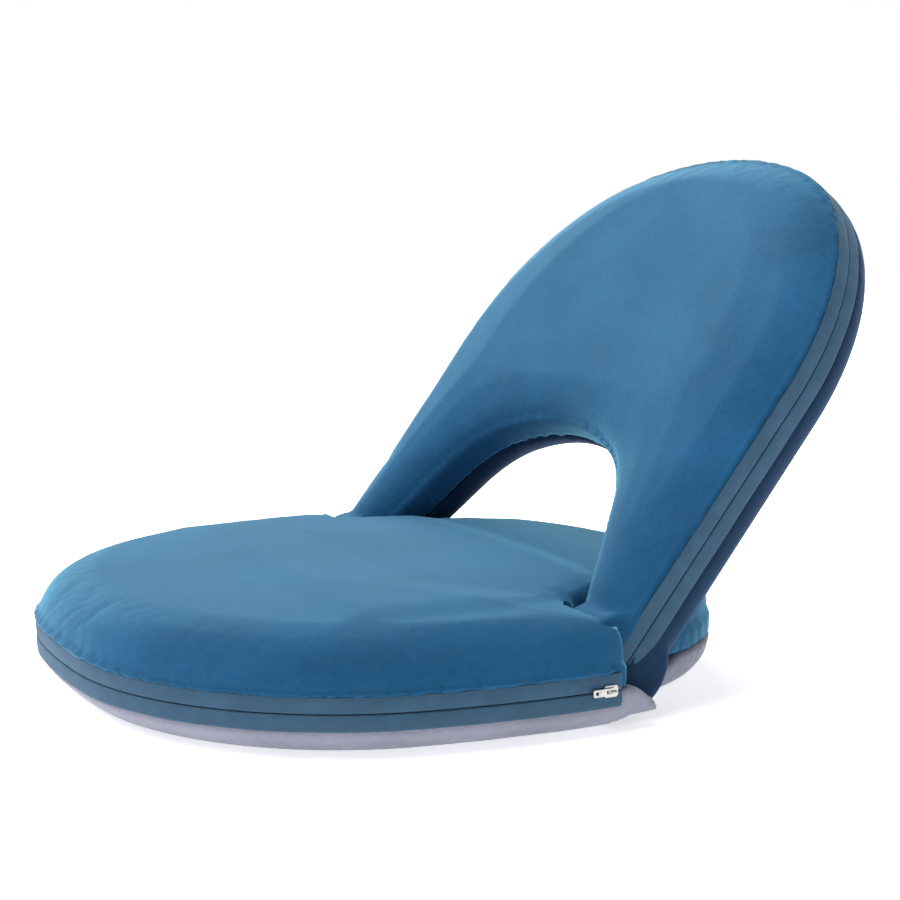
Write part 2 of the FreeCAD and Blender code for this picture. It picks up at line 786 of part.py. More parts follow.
def pad(body, sketch, length):
    made = body.newObject("PartDesign::Pad", body.Label + "_pad")
    made.Profile = sketch
    made.setExpression("Length", length)
    sketch.Visibility = False
    doc.recompute()
    return made


def pocket_through(body, sketch):
    """Cuts a sketch right through the body, both ways, and sees that it took metal away."""
    doc.recompute()
    before = body.Shape.Volume
    made = body.newObject("PartDesign::Pocket", body.Label + "_pocket")
    made.Profile = sketch
    made.Type = "ThroughAll"
    made.Midplane = True
    doc.recompute()
    if body.Shape.Volume >= before:
        raise ValueError("the pocket in %s cut nothing" % body.Label)
    return made


def revolve_about_x(body, sketch):
    made = body.newObject("PartDesign::Revolution", body.Label + "_turned")
    made.Profile = sketch
    made.ReferenceAxis = (sketch, ["H_Axis"])
    made.Angle = 360
    doc.recompute()
    return made


def polar(radius, angle):
    return "(%s) * cos(%s)" % (radius, angle), "(%s) * sin(%s)" % (radius, angle)


ZERO = "0 * dims.pin_radius"
SIDES = (("left", 1), ("right", -1))


def start_x(side, inner, thickness):
    """Sketch offset of a plate that lies between inner and inner + thickness on its side."""
    return inner if side > 0 else "-(%s) - (%s)" % (inner, thickness)


ARM_X = "dims.arm_plate_x"
GAP_X = "dims.arm_plate_x + dims.arm_plate_thickness"
OUTER_ARM_X = GAP_X + " + dims.wheel_thickness + 2 * dims.side_clearance"
CONTACT = "dims.contact_angle"
ROOT = "dims.wheel_tip_radius - dims.tooth_depth"
PAWL_V = "(%s + dims.tooth_depth / 2) * cos(%s) - dims.pawl_reach * sin(%s)" % (ROOT, CONTACT, CONTACT)
PAWL_W = "(%s + dims.tooth_depth / 2) * sin(%s) + dims.pawl_reach * cos(%s)" % (ROOT, CONTACT, CONTACT)


def hole(body, offset, x, y, radius):
    sketch = new_sketch(body, "YZ_Plane", offset)
    add_circle(sketch, x, y, radius)
    pocket_through(body, sketch)


def make_seat_bracket(name, side):
    """Steel plate welded on the rail, with a round top about the pin."""
    body = new_body(name + "_seat_bracket", fold_axis, False)
    rail = "dims.arch_foot_width / 2 - dims.rail_step + dims.tube_radius"
    offset = start_x(side, rail, "dims.bracket_thickness")
    foot = "dims.seat_seam_height - dims.pivot_height - dims.tube_radius / 2"
    sketch = new_sketch(body, "YZ_Plane", offset)
    add_polygon(sketch, [
        ("-dims.bracket_half_length", foot), ("dims.bracket_half_length", foot),
        ("dims.bracket_half_length", foot + " + dims.tube_radius"),
        ("dims.bracket_round", "0 * dims.bracket_round"),
        ("-dims.bracket_round", "0 * dims.bracket_round"),
        ("-dims.bracket_half_length", foot + " + dims.tube_radius")])
    pad(body, sketch, "dims.bracket_thickness")
    top = new_sketch(body, "YZ_Plane", offset)
    add_circle(top, ZERO, ZERO, "dims.bracket_round")
    pad(body, top, "dims.bracket_thickness")
    hole(body, offset, ZERO, ZERO, "dims.pin_spigot_radius")


def make_hinge_pin(name, side):
    """Turned pin: spigot in the bracket, collar, long shank, and the head that keeps the arm on."""
    body = new_body(name + "_hinge_pin", fold_axis, False)
    rail = "dims.arch_foot_width / 2 - dims.rail_step + dims.tube_radius"
    collar = rail + " + dims.bracket_thickness"
    shank = collar + " + dims.pin_collar_width"
    head = OUTER_ARM_X + (" + dims.arm_plate_thickness + dims.bush_flange_width"
                          " + dims.washer_thickness + 3 * dims.side_clearance")
    end = head + " + dims.pin_head_width"
    steps = [
        (rail, ZERO), (rail, "dims.pin_spigot_radius"), (collar, "dims.pin_spigot_radius"),
        (collar, "dims.pin_collar_radius"), (shank, "dims.pin_collar_radius"),
        (shank, "dims.pin_radius"), (head, "dims.pin_radius"), (head, "dims.pin_head_radius"),
        (end, "dims.pin_head_radius"), (end, ZERO)]
    if side < 0:
        steps = [("-(%s)" % x, r) for x, r in steps]
    sketch = new_sketch(body, "XY_Plane", "")
    add_polygon(sketch, steps)
    revolve_about_x(body, sketch)


def make_ratchet_wheel(name, side):
    """Toothed wheel pressed on the pin. Its steep tooth faces stop the back from lying further down."""
    body = new_body(name + "_ratchet_wheel", fold_axis, False)
    offset = start_x(side, GAP_X + " + dims.side_clearance", "dims.wheel_thickness")
    blank = new_sketch(body, "YZ_Plane", offset)
    add_circle(blank, ZERO, ZERO, "dims.wheel_tip_radius")
    pad(body, blank, "dims.wheel_thickness")
    face = "dims.recline_angle + dims.contact_angle"
    out = "dims.wheel_tip_radius + 0.2 * dims.tooth_depth"
    notch = new_sketch(body, "YZ_Plane", offset)
    add_polygon(notch, [
        polar(ROOT, face), polar(out, face), polar(out, face + " + dims.tooth_pitch")])
    cut = pocket_through(body, notch)
    pattern = body.newObject("PartDesign::PolarPattern", body.Label + "_teeth")
    pattern.Originals = [cut]
    pattern.Axis = (notch, ["N_Axis"])
    pattern.Angle = 360
    pattern.setExpression("Occurrences", "round(360 / dims.tooth_pitch)")
    body.Tip = pattern
    doc.recompute()
    hole(body, offset, ZERO, ZERO, "dims.pin_radius")


def make_arm_plate(name, side, inner):
    """Stamped plate of the back's hinge arm, with a round hub and a strap up the leg."""
    label = name + ("_inner_arm_plate" if inner else "_outer_arm_plate")
    body = new_body(label, back_rest, True)
    offset = start_x(side, ARM_X if inner else OUTER_ARM_X, "dims.arm_plate_thickness")
    hub = new_sketch(body, "YZ_Plane", offset)
    add_circle(hub, ZERO, ZERO, "dims.arm_hub_radius")
    pad(body, hub, "dims.arm_plate_thickness")
    strap = new_sketch(body, "YZ_Plane", offset)
    add_polygon(strap, [
        (ZERO, "-dims.arm_hub_radius"), ("dims.spring_post_v + 7", "-dims.arm_hub_radius"),
        ("dims.arm_length", "-dims.arm_half_width"), ("dims.arm_length", "dims.arm_half_width"),
        ("dims.spring_post_v", "dims.arm_half_width"), (ZERO, "dims.arm_hub_radius")])
    pad(body, strap, "dims.arm_plate_thickness")
    hole(body, offset, ZERO, ZERO, "dims.bush_radius")
    hole(body, offset, PAWL_V, PAWL_W, "dims.pawl_pin_radius")
    hole(body, offset, "dims.spring_post_v", "dims.spring_post_w", "dims.spring_post_radius")
    for v in ("dims.arm_rivet_first", "dims.arm_rivet_second"):
        hole(body, offset, v, ZERO, "dims.arm_rivet_radius")


def make_pawl(name, side):
    """Pawl whose one tooth rests against a steep tooth face of the wheel."""
    body = new_body(name + "_pawl", back_rest, True)
    offset = start_x(side, GAP_X + " + 2 * dims.side_clearance",
                     "dims.wheel_thickness - 2 * dims.side_clearance")
    thickness = "dims.wheel_thickness - 2 * dims.side_clearance"
    gap = "dims.pawl_clearance"
    lead = CONTACT + " + 1.2"
    eye = "dims.pawl_eye_radius"
    shape = new_sketch(body, "YZ_Plane", offset)
    add_polygon(shape, [
        polar(ROOT + " + 1.5 * " + gap, CONTACT + " + 1.6"),
        polar("dims.wheel_tip_radius + 2 * " + gap, CONTACT + " + 0.9 * dims.tooth_pitch"),
        polar("dims.wheel_tip_radius + 3 * " + gap, CONTACT + " + 1.7 * dims.tooth_pitch"),
        (PAWL_V + " - 0.6 * " + eye, PAWL_W + " + 0.7 * " + eye),
        (PAWL_V + " + 0.5 * " + eye, PAWL_W + " - 0.85 * " + eye),
        polar("dims.pawl_back_radius", CONTACT + " + 1.5 * dims.tooth_pitch"),
        polar("dims.pawl_back_radius", CONTACT + " + 0.2 * dims.tooth_pitch"),
        polar("dims.pawl_back_radius - 2", lead),
        polar("dims.wheel_tip_radius", lead)])
    pad(body, shape, thickness)
    boss = new_sketch(body, "YZ_Plane", offset)
    add_circle(boss, PAWL_V, PAWL_W, eye)
    pad(body, boss, thickness)
    hole(body, offset, PAWL_V, PAWL_W, "dims.pawl_pin_radius + dims.running_clearance")


def pawl_spot():
    root = d.wheel_tip_radius - d.tooth_depth / 2
    turn = math.radians(d.contact_angle)
    return (root * math.cos(turn) - d.pawl_reach * math.sin(turn),
            root * math.sin(turn) + d.pawl_reach * math.cos(turn))


def for_side(side, shape):
    return shape if side > 0 else mirrored(shape)


def make_hinge_trim(name, side):
    """Bushes, rivets, washer, spacer, pawl pin and spring post of one hinge."""
    plate = d.arm_plate_thickness
    far_x = ARM_GAP_X + ARM_GAP
    bore = d.pin_radius + d.running_clearance
    flange = d.bush_flange_width
    inner = ring(bore, d.bush_radius, d.arm_plate_x, ARM_GAP_X)
    inner = inner.fuse(ring(bore, d.bush_flange_radius, d.arm_plate_x - flange, d.arm_plate_x))
    outer = ring(bore, d.bush_radius, far_x, far_x + plate)
    outer = outer.fuse(ring(bore, d.bush_flange_radius, far_x + plate, far_x + plate + flange))
    bushes = Part.Compound([one_solid(inner), one_solid(outer)])
    feature(name + "_hinge_bushes", for_side(side, bushes), back_rest)

    washer_x = PIN_HEAD_X - d.washer_thickness - d.side_clearance
    washer = ring(bore, d.bush_flange_radius, washer_x, PIN_HEAD_X - d.side_clearance)
    feature(name + "_pin_washer", for_side(side, washer), fold_axis)
    spacer = ring(bore, d.spacer_radius, KNUCKLE_IN - d.leg_slot_gap + d.side_clearance,
                  d.arm_plate_x - flange - 2 * d.side_clearance)
    feature(name + "_hinge_spacer", for_side(side, spacer), fold_axis)

    rivets = []
    cap = d.arm_rivet_head_height
    for v in (d.arm_rivet_first, d.arm_rivet_second):
        rivet = rod(d.arm_rivet_radius, d.arm_plate_x, far_x + plate, v)
        heads = [rod(d.arm_rivet_head, d.arm_plate_x - cap / 2, d.arm_plate_x, v)]
        heads.append(rod(d.arm_rivet_head, far_x + plate, far_x + plate + cap, v))
        rivets.append(one_solid(rivet.fuse(heads)))
    feature(name + "_arm_rivets", for_side(side, Part.Compound(rivets)), back_rest)

    v, w = pawl_spot()
    pin = rod(d.pawl_pin_radius, d.arm_plate_x, far_x + plate, v, w)
    pin = pin.fuse(rod(d.pawl_eye_radius - 0.5, far_x + plate, far_x + plate + cap, v, w))
    feature(name + "_pawl_pin", for_side(side, one_solid(pin)), back_rest)


def make_pawl_spring(name, side):
    """Leaf spring curled round its post, with its free end on the back of the pawl."""
    post_v, post_w = d.spring_post_v, d.spring_post_w
    radius = d.spring_post_radius
    strip = d.spring_strip
    x0 = LEG_TUBE_X - d.spring_width / 2
    x1 = x0 + d.spring_width
    post = rod(radius, d.arm_plate_x, ARM_GAP_X + ARM_GAP + d.arm_plate_thickness, post_v, post_w)
    feature(name + "_spring_post", for_side(side, post), back_rest)
    curl = ring(radius, radius + strip, x0, x1, post_v, post_w)
    turn = math.radians(d.contact_angle + 0.2 * d.tooth_pitch)
    rest = Vector(0, d.pawl_back_radius * math.cos(turn), d.pawl_back_radius * math.sin(turn))
    root = Vector(0, post_v, post_w - radius - strip)
    tip = rest + Vector(0, 0.5, -d.pawl_clearance - strip)
    up = Vector(0, 0, strip)
    leaf = Part.makePolygon([root, tip, tip + up, root + up, root])
    leaf = Part.Face(leaf)
    leaf.translate(Vector(x0, 0, 0))
    leaf = leaf.extrude(Vector(x1 - x0, 0, 0))
    spring = one_solid(curl.fuse(leaf).cut(rod(radius, x0 - 1, x1 + 1, post_v, post_w)))
    feature(name + "_pawl_spring", for_side(side, spring), back_rest)


# Zipper sliders, drawn about the slit with +X outwards, +Y along the chain, +Z across it

def slider_body():
    """Slider: outer wing with side flanges, inner wing, the web between them and the bail."""
    tape = d.tape_thickness
    coil = tape + d.coil_depth
    gap = d.slider_gap
    wing = d.slider_wing
    half = d.slider_length / 2
    high = d.slider_height / 2
    outer = box(gap, gap + wing, -half, half, -high, high)
    inner = box(-coil - gap - wing, -coil - gap, -half, half, -high, high)
    web = box(-coil - gap, gap, half - d.slider_web_length, half, -d.slider_web / 2, d.slider_web / 2)
    flanges = []
    for z0 in (-high, high - wing / 2):
        flanges.append(box(-coil - gap, -tape - gap, -half, half, z0, z0 + wing / 2))
    solid = outer.fuse([inner, web] + flanges)
    rims = [e for e in solid.Edges if abs(e.BoundBox.XLength) > wing - 0.01
            and e.BoundBox.YLength < 0.01 and abs(abs(e.BoundBox.Center.y) - half) < 0.01
            and e.BoundBox.Center.x > 0 and e.BoundBox.XMax > gap + wing - 0.01]
    solid = solid.makeFillet(min(2, 0.45 * d.slider_length), rims)
    return solid.fuse(slider_bail())


def slider_bail():
    """Small arch on the slider that the pull hangs from."""
    rise = d.bail_rise
    reach = d.bail_reach
    base = d.slider_gap + d.slider_wing
    points = [Vector(base - 0.5, -reach, 0), Vector(base + rise, -reach, 0)]
    points += [Vector(base + rise, reach, 0), Vector(base - 0.5, reach, 0)]
    path = rounded_path(points, [0, 1.6, 1.6, 0])
    return solid_of(pipe(path, d.bail_radius))


def pull_tab():
    """Flat tab whose cross bar lies under the bail and whose window goes round the bail's foot."""
    x = pull_axis_x()
    half = d.pull_thickness / 2
    wide = d.pull_width / 2
    window_end = -d.bail_reach - d.bail_radius - 0.7
    plate = box(x - half, x + half, -d.pull_length, PULL_AXIS_Y, -wide, wide)
    window = box(x - 5, x + 5, window_end, PULL_AXIS_Y + 1, -1.3, 1.3)
    grip = Part.makeCylinder(1.2, 10, Vector(x - 5, -d.pull_length + 3, 0), AXIS_X)
    tab = plate.cut(window).cut(grip)
    corners = [e for e in tab.Edges if e.BoundBox.YLength < 0.01 and e.BoundBox.ZLength < 0.01
               and abs(abs(e.BoundBox.Center.z) - wide) < 0.01 and e.BoundBox.Center.y < 0]
    bar = Part.makeCylinder(0.6, 2 * wide, Vector(x, PULL_AXIS_Y, -wide), Vector(0, 0, 1))
    return one_solid(tab.makeFillet(1.2, corners).fuse(bar))


PULL_AXIS_Y = 1.5


def pull_axis_x():
    return d.slider_gap + d.slider_wing + (d.bail_rise - d.bail_radius) / 2


def make_sliders():
    stand = d.shoulder_y - d.band_start - d.stop_length - d.slider_length / 2 - 1
    turn = math.asin((stand - side_centre.y) / d.seat_side_radius)
    reach = Vector(math.cos(turn), math.sin(turn), 0) * d.seat_side_radius
    spot = side_centre + reach + SEAT_LEVEL
    seat_place = Placement(spot, Rotation(Vector(0, 0, 1), math.degrees(turn)))
    feature("seat_zipper_slider", slider_body(), seat_place)
    feature("seat_zipper_pull", pull_tab(), seat_place)

    away = back_side_spot(d.back_slider_height)
    lean = math.degrees(back_side_lean())
    flat = Placement(away, Rotation(Vector(0, 0, 1), 180 + lean))
    flip = Placement(Vector(0, 0, 0), Rotation(AXIS_X, 180))
    back_place = back_rest.multiply(flat).multiply(flip)
    feature("back_zipper_slider", slider_body(), back_place)
    feature("back_zipper_pull", pull_tab(), back_place)
    report_axes(side_centre, seat_place, back_place)


def report_axes(centre, seat_place, back_place):
    """Prints the joint axes that the record states, in millimetres."""
    print("seat slider runs about", centre)
    pivot = Vector(pull_axis_x(), PULL_AXIS_Y, 0)
    along = Vector(0, 1, 0)
    across = Vector(0, 0, 1)
    for name, place in (("seat", seat_place), ("back", back_place)):
        print(name, "pull pivot", place.multVec(pivot), "axis", place.Rotation.multVec(across))
        print(name, "slider at", place.Base, "along", place.Rotation.multVec(along))
    v, w = pawl_spot()
    print("pawl pivot", back_rest.multVec(Vector(LEG_TUBE_X, v, w)))


def back_side_edge():
    """The straight edge of the back's outline on the far side, from its foot up."""
    edges = back_outline(0).Edges
    straight = [e for e in edges if e.BoundBox.XMax < 0 and e.BoundBox.XLength < 20]
    return max(straight, key=lambda e: e.BoundBox.YLength)


def back_side_spot(height):
    points = sorted((v.Point for v in back_side_edge().Vertexes), key=lambda p: p.y)
    way = (points[1] - points[0]).normalize()
    return points[0] + way * ((height - points[0].y) / way.y)


def back_side_lean():
    points = sorted((v.Point for v in back_side_edge().Vertexes), key=lambda p: p.y)
    return math.atan2(points[0].x - points[1].x, points[1].y - points[0].y)


def make_hinges():
    for name, side in SIDES:
        make_seat_bracket(name, side)
        make_hinge_pin(name, side)
        make_ratchet_wheel(name, side)
        make_arm_plate(name, side, True)
        make_arm_plate(name, side, False)
        make_pawl(name, side)
        make_hinge_trim(name, side)
        make_pawl_spring(name, side)


def check_document():
    """Stops before anything is written if a feature failed or a shape is unsound."""
    doc.recompute()
    for item in doc.Objects:
        if "Invalid" in item.State or "Error" in item.State:
            raise ValueError("%s failed: %s" % (item.Label, item.State))
    for item in nodes:
        if item.Shape.isNull() or not item.Shape.isValid() or not item.Shape.Solids:
            raise ValueError("%s has no sound shape" % item.Label)


make_frames()
make_support_sheets()
make_seat_cushion()
make_back_cushion()
make_zippers()
make_hinges()
make_sliders()
check_document()
for item in nodes:
    item.Shape.exportStep("parts/%s.step" % item.Label)
    solids = item.Shape.Solids
    print(item.Label, len(solids), "solids", round(sum(s.Volume for s in solids)), "mm3")
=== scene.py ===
import json
import math

import bmesh
import bpy
import numpy as np
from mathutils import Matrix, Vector


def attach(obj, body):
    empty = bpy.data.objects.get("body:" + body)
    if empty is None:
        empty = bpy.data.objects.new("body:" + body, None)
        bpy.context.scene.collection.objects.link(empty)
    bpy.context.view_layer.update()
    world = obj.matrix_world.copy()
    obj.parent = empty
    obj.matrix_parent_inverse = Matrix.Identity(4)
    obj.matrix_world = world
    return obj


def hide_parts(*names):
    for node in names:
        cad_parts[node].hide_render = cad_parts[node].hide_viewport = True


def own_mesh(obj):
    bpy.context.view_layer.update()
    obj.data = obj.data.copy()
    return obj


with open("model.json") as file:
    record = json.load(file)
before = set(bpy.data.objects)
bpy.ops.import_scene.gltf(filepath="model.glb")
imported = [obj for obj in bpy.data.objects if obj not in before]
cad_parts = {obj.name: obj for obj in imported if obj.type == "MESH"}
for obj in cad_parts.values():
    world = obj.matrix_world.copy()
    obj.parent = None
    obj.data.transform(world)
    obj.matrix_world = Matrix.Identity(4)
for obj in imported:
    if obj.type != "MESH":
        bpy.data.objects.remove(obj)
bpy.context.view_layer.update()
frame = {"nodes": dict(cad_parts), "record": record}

# Sizes of the part, in metres

PIVOT_Z = 0.043
RECLINE = math.radians(52.5)
LOWEST_TURN = math.radians(-30)
SEAM_Z = 0.032
SEAT_TOP = 0.080
SHOULDER_Y = -0.008
SEAT_HALF = 0.260
SEAT_FRONT = 0.336
SEAT_SIDE_RADIUS = 0.625
SEAT_SIDE_Y = -0.040
SEAT_CORNER_RADIUS = 0.217
SEAT_FRONT_RADIUS = 0.624
TAIL_STEP = 0.050
TAIL_HALF = SEAT_HALF - TAIL_STEP
TAIL_CORNER_RADIUS = 0.155
TAIL_END_RADIUS = 0.262
TAIL_END = 0.180
BACK_STEP = 0.014
BACK_HALF = SEAT_HALF - BACK_STEP
FOOT_STEP = 0.020
FOOT_OUT = SEAT_HALF - FOOT_STEP
LEG_WIDTH = 0.052
FOOT_IN = FOOT_OUT - LEG_WIDTH
BACK_CORNER_RADIUS = 0.201
BACK_END_RADIUS = 0.371
BACK_TOP = 0.435
BACK_FRONT = 0.030
BACK_REAR = 0.038
ARCH_HALF = 0.145
ARCH_CORNER_RADIUS = 0.095
ARCH_END_RADIUS = 0.220
ARCH_TOP = 0.163
HEEL = BACK_REAR
SLOT_GAP = 0.0015
LIP_GAP = 0.004
DIMPLE = (0.200, -0.009, 0.084)
BAND_HALF = 0.011
HALF_SLIT = 0.0005
VOXEL = 0.004


# Outlines, as closed runs of points

def arc(centre, radius, start, end, count=40):
    """Points on an arc, angles in radians."""
    turn = np.linspace(start, end, count)
    return np.stack([centre[0] + radius * np.cos(turn), centre[1] + radius * np.sin(turn)], -1)


def meeting(a, reach_a, b, reach_b):
    """The point at one distance from a and another from b, on the +X side."""
    way = np.subtract(b, a)
    span = np.hypot(*way)
    along = (reach_a ** 2 - reach_b ** 2 + span ** 2) / (2 * span)
    across = math.sqrt(reach_a ** 2 - along ** 2)
    way = way / span
    spots = [np.add(a, way * along + np.array([-way[1], way[0]]) * k) for k in (across, -across)]
    return max(spots, key=lambda spot: spot[0])


def whole(half):
    """A right half outline and its mirror image as one run of points."""
    return np.vstack([half, half[::-1] * [-1, 1]])


def disc_half(rear_y):
    """Right half of the seat's disc, from behind the shoulder round to the front."""
    side = (SEAT_HALF - SEAT_SIDE_RADIUS, SEAT_SIDE_Y)
    front = (0.0, SEAT_FRONT_RADIUS - SEAT_FRONT)
    corner = meeting(
        side, SEAT_SIDE_RADIUS - SEAT_CORNER_RADIUS, front, SEAT_FRONT_RADIUS - SEAT_CORNER_RADIUS)
    low = math.atan2(corner[1] - side[1], corner[0] - side[0])
    turn = math.atan2(corner[1] - front[1], corner[0] - front[0])
    rise = math.asin((rear_y - side[1]) / SEAT_SIDE_RADIUS)
    return np.vstack([
        arc(side, SEAT_SIDE_RADIUS, rise, low), arc(corner, SEAT_CORNER_RADIUS, low, turn)[1:],
        arc(front, SEAT_FRONT_RADIUS, turn, -math.pi / 2)[1:]])


def dome_half(half_width, foot_half, corner_radius, end_radius, end, base, foot_y=0.0):
    """Right half of a flat-based dome, from its base to the middle of its end."""
    reach = half_width - corner_radius
    rise = math.sqrt((end_radius - corner_radius) ** 2 - reach ** 2)
    corner = np.array([reach, end - end_radius + rise])
    away = np.array([foot_half, foot_y]) - corner
    start = math.atan2(away[1], away[0]) + math.acos(corner_radius / np.hypot(*away))
    split = math.atan2(corner[1] - (end - end_radius), corner[0])
    normal = np.array([math.cos(start), math.sin(start)])
    touch = corner + corner_radius * normal
    run = np.array([-normal[1], normal[0]])
    foot = touch + run * (base - touch[1]) / run[1]
    side = foot + np.linspace(0, 1, 30)[:-1, None] * (touch - foot)
    return np.vstack([
        side, arc(corner, corner_radius, start, split),
        arc((0.0, end - end_radius), end_radius, split, math.pi / 2)[1:]])


DISC = whole(disc_half(rear_y=0.04))
TAIL = whole(dome_half(
    TAIL_HALF, TAIL_HALF, TAIL_CORNER_RADIUS, TAIL_END_RADIUS, TAIL_END, base=-0.20, foot_y=-0.07))
BACK_SIZES = (BACK_HALF, FOOT_OUT, BACK_CORNER_RADIUS, BACK_END_RADIUS, BACK_TOP)
BACK = whole(dome_half(*BACK_SIZES, base=-0.06))
ARCH = whole(dome_half(ARCH_HALF, FOOT_IN, ARCH_CORNER_RADIUS, ARCH_END_RADIUS, ARCH_TOP, base=-0.2))


# Distance fields and the meshes drawn from them

class Flat:
    """Signed distance to a closed outline, negative inside, sampled on a grid."""

    no_length = 1e-14
    level = 1e-12

    def __init__(self, outline, cell=0.002, margin=0.03):
        self.low = outline.min(0) - margin
        self.cell = cell
        count = np.ceil((outline.max(0) + margin - self.low) / cell).astype(int) + 1
        xs, ys = (self.low[k] + cell * np.arange(count[k]) for k in (0, 1))
        grid = np.stack(np.meshgrid(xs, ys, indexing="ij"), -1).reshape(-1, 2)
        best = np.full(len(grid), 1e9)
        inside = np.zeros(len(grid), bool)
        for a, b in zip(outline, np.roll(outline, -1, 0)):
            run = b - a
            long = run @ run
            if long < self.no_length:
                continue
            t = np.clip((grid - a) @ run / long, 0, 1)
            best = np.minimum(best, ((grid - a - t[:, None] * run) ** 2).sum(-1))
            crosses = (a[1] > grid[:, 1]) != (b[1] > grid[:, 1])
            if crosses.any() and abs(run[1]) > self.level:
                at = a[0] + (grid[:, 1] - a[1]) * run[0] / run[1]
                inside ^= crosses & (grid[:, 0] < at)
        # A little short of the last point, so that each place has a neighbour on both sides
        self.last = count - 1.001
        self.values = (np.sqrt(best) * np.where(inside, -1, 1)).reshape(count)

    def __call__(self, x, y):
        u = np.clip((x - self.low[0]) / self.cell, 0, self.last[0])
        v = np.clip((y - self.low[1]) / self.cell, 0, self.last[1])
        i, j = u.astype(int), v.astype(int)
        u, v = u - i, v - j
        grid = self.values
        low = grid[i, j] * (1 - u) + grid[i + 1, j] * u
        high = grid[i, j + 1] * (1 - u) + grid[i + 1, j + 1] * u
        return low * (1 - v) + high * v


def smooth_max(a, b, k):
    """The larger of two distances, rounded where they meet."""
    h = np.clip(0.5 + 0.5 * (a - b) / k, 0, 1)
    return b + (a - b) * h + k * h * (1 - h)


def smooth_min(a, b, k):
    return -smooth_max(-a, -b, k)


def smooth_step(value, low, high):
    t = np.clip((value - low) / (high - low), 0, 1)
    return t * t * (3 - 2 * t)


def rounded(side, up, radius):
    """Distance to a slab's rim of that rounding: side and up are the distances past wall and top."""
    a, b = side + radius, up + radius
    return np.hypot(np.maximum(a, 0), np.maximum(b, 0)) + np.minimum(np.maximum(a, b), 0) - radius


def settled(field, points, cell, rounds=3, least_slope=0.3):
    """Moves points along the field's slope until they lie on its zero surface."""
    step = cell * 0.1
    for _ in range(rounds):
        slope = np.stack([
            (field(points + step * e) - field(points - step * e)) / (2 * step) for e in np.eye(3)], -1)
        size = np.maximum((slope ** 2).sum(-1), least_slope)
        points = points - np.clip(field(points) / size, -cell, cell)[:, None] * slope
    return points


def net(field, low, high, cell):
    """Quad mesh of a field's zero surface: one point in each grid cell that it crosses."""
    axes = [np.arange(low[k], high[k] + cell, cell) for k in range(3)]
    shape = [len(a) for a in axes]
    grid = np.stack(np.meshgrid(*axes, indexing="ij"), -1).reshape(-1, 3)
    values = field(grid).reshape(shape)
    inside = values < 0
    cells = [n - 1 for n in shape]
    total = np.zeros(cells + [3])
    hits = np.zeros(cells)
    offsets = [(i, j, k) for i in (0, 1) for j in (0, 1) for k in (0, 1)]

    def corner(array, o):
        return array[tuple(slice(o[k], o[k] + cells[k]) for k in range(3))]

    for a in offsets:
        for axis in range(3):
            if a[axis]:
                continue
            b = tuple(1 if k == axis else a[k] for k in range(3))
            va, vb = corner(values, a), corner(values, b)
            cross = corner(inside, a) != corner(inside, b)
            t = np.where(cross, va / np.where(cross, va - vb, 1), 0)
            spot = np.array(a, float) + np.zeros(cells + [3])
            spot[..., axis] += t
            total += np.where(cross[..., None], spot, 0)
            hits += cross
    active = hits > 0
    index = np.full(cells, -1)
    index[active] = np.arange(active.sum())
    base = np.stack(np.meshgrid(*[np.arange(n) for n in cells], indexing="ij"), -1)
    points = (base[active] + total[active] / hits[active][:, None]) * cell + np.array(low)
    faces = []
    for axis in range(3):
        u, v = [k for k in range(3) if k != axis]
        first = [slice(None)] * 3
        first[axis] = slice(0, shape[axis] - 1)
        second = [slice(None)] * 3
        second[axis] = slice(1, shape[axis])
        ia, ib = inside[tuple(first)], inside[tuple(second)]
        spots = np.argwhere(ia != ib)
        keep = (spots[:, u] > 0) & (spots[:, v] > 0)
        keep &= (spots[:, u] < cells[u]) & (spots[:, v] < cells[v])
        spots = spots[keep]
        flip = ia[tuple(spots.T)]
        ring = []
        for du, dv in ((-1, -1), (0, -1), (0, 0), (-1, 0)):
            at = spots.copy()
            at[:, u] += du
            at[:, v] += dv
            ring.append(index[tuple(at.T)])
        quads = np.stack(ring, -1)
        if axis == 1:
            flip = ~flip
        quads[~flip] = quads[~flip][:, ::-1]
        faces.append(quads)
    return settled(field, points, cell), np.vstack(faces)


def piece(name, points, faces, body, material):
    mesh = bpy.data.meshes.new(name)
    mesh.from_pydata([tuple(p) for p in points], [], [tuple(int(i) for i in f) for f in faces])
    mesh.validate()
    mesh.shade_smooth()
    thing = bpy.data.objects.new(name, mesh)
    bpy.context.scene.collection.objects.link(thing)
    mesh.materials.append(material)
    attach(thing, body)
    return thing


def leaning(angle):
    """Rows are the directions across the back, up it and out of its front, at that lean."""
    return np.array([
        [1, 0, 0],
        [0, math.cos(angle), math.sin(angle)],
        [0, -math.sin(angle), math.cos(angle)]])


BACK_TURN = leaning(RECLINE)
PIVOT = np.array([0, 0, PIVOT_Z])


def from_back(points):
    """From the back's own lie (across, up the back, out of its front) to the part's frame."""
    return points @ BACK_TURN + PIVOT


def to_back(points, turn=BACK_TURN):
    return (points - PIVOT) @ turn.T


# Materials

# Numbers of the colour sockets on a mix node
MIX_UNDER = 6
MIX_OVER = 7
MIX_RESULT = 2

# Zipper tape, in metres: pitches of its ribs, twill and stitches, and the row of stitches from the slit
RIB_PITCH = 0.0011
TWILL_PITCH = 0.0013
STITCH_PITCH = 0.0042
STITCH_ROW = 0.0092
STITCH_HALF_WIDTH = 0.00035


def new_material(name):
    material = bpy.data.materials.new(name)
    material.use_nodes = True
    tree = material.node_tree
    shader = tree.nodes["Principled BSDF"]
    return material, tree, shader


def node(tree, kind, inputs=(), **settings):
    made = tree.nodes.new(kind)
    for key, value in settings.items():
        setattr(made, key, value)
    for key, value in dict(inputs).items():
        if isinstance(value, bpy.types.NodeSocket):
            tree.links.new(value, made.inputs[key])
        else:
            made.inputs[key].default_value = value
    return made


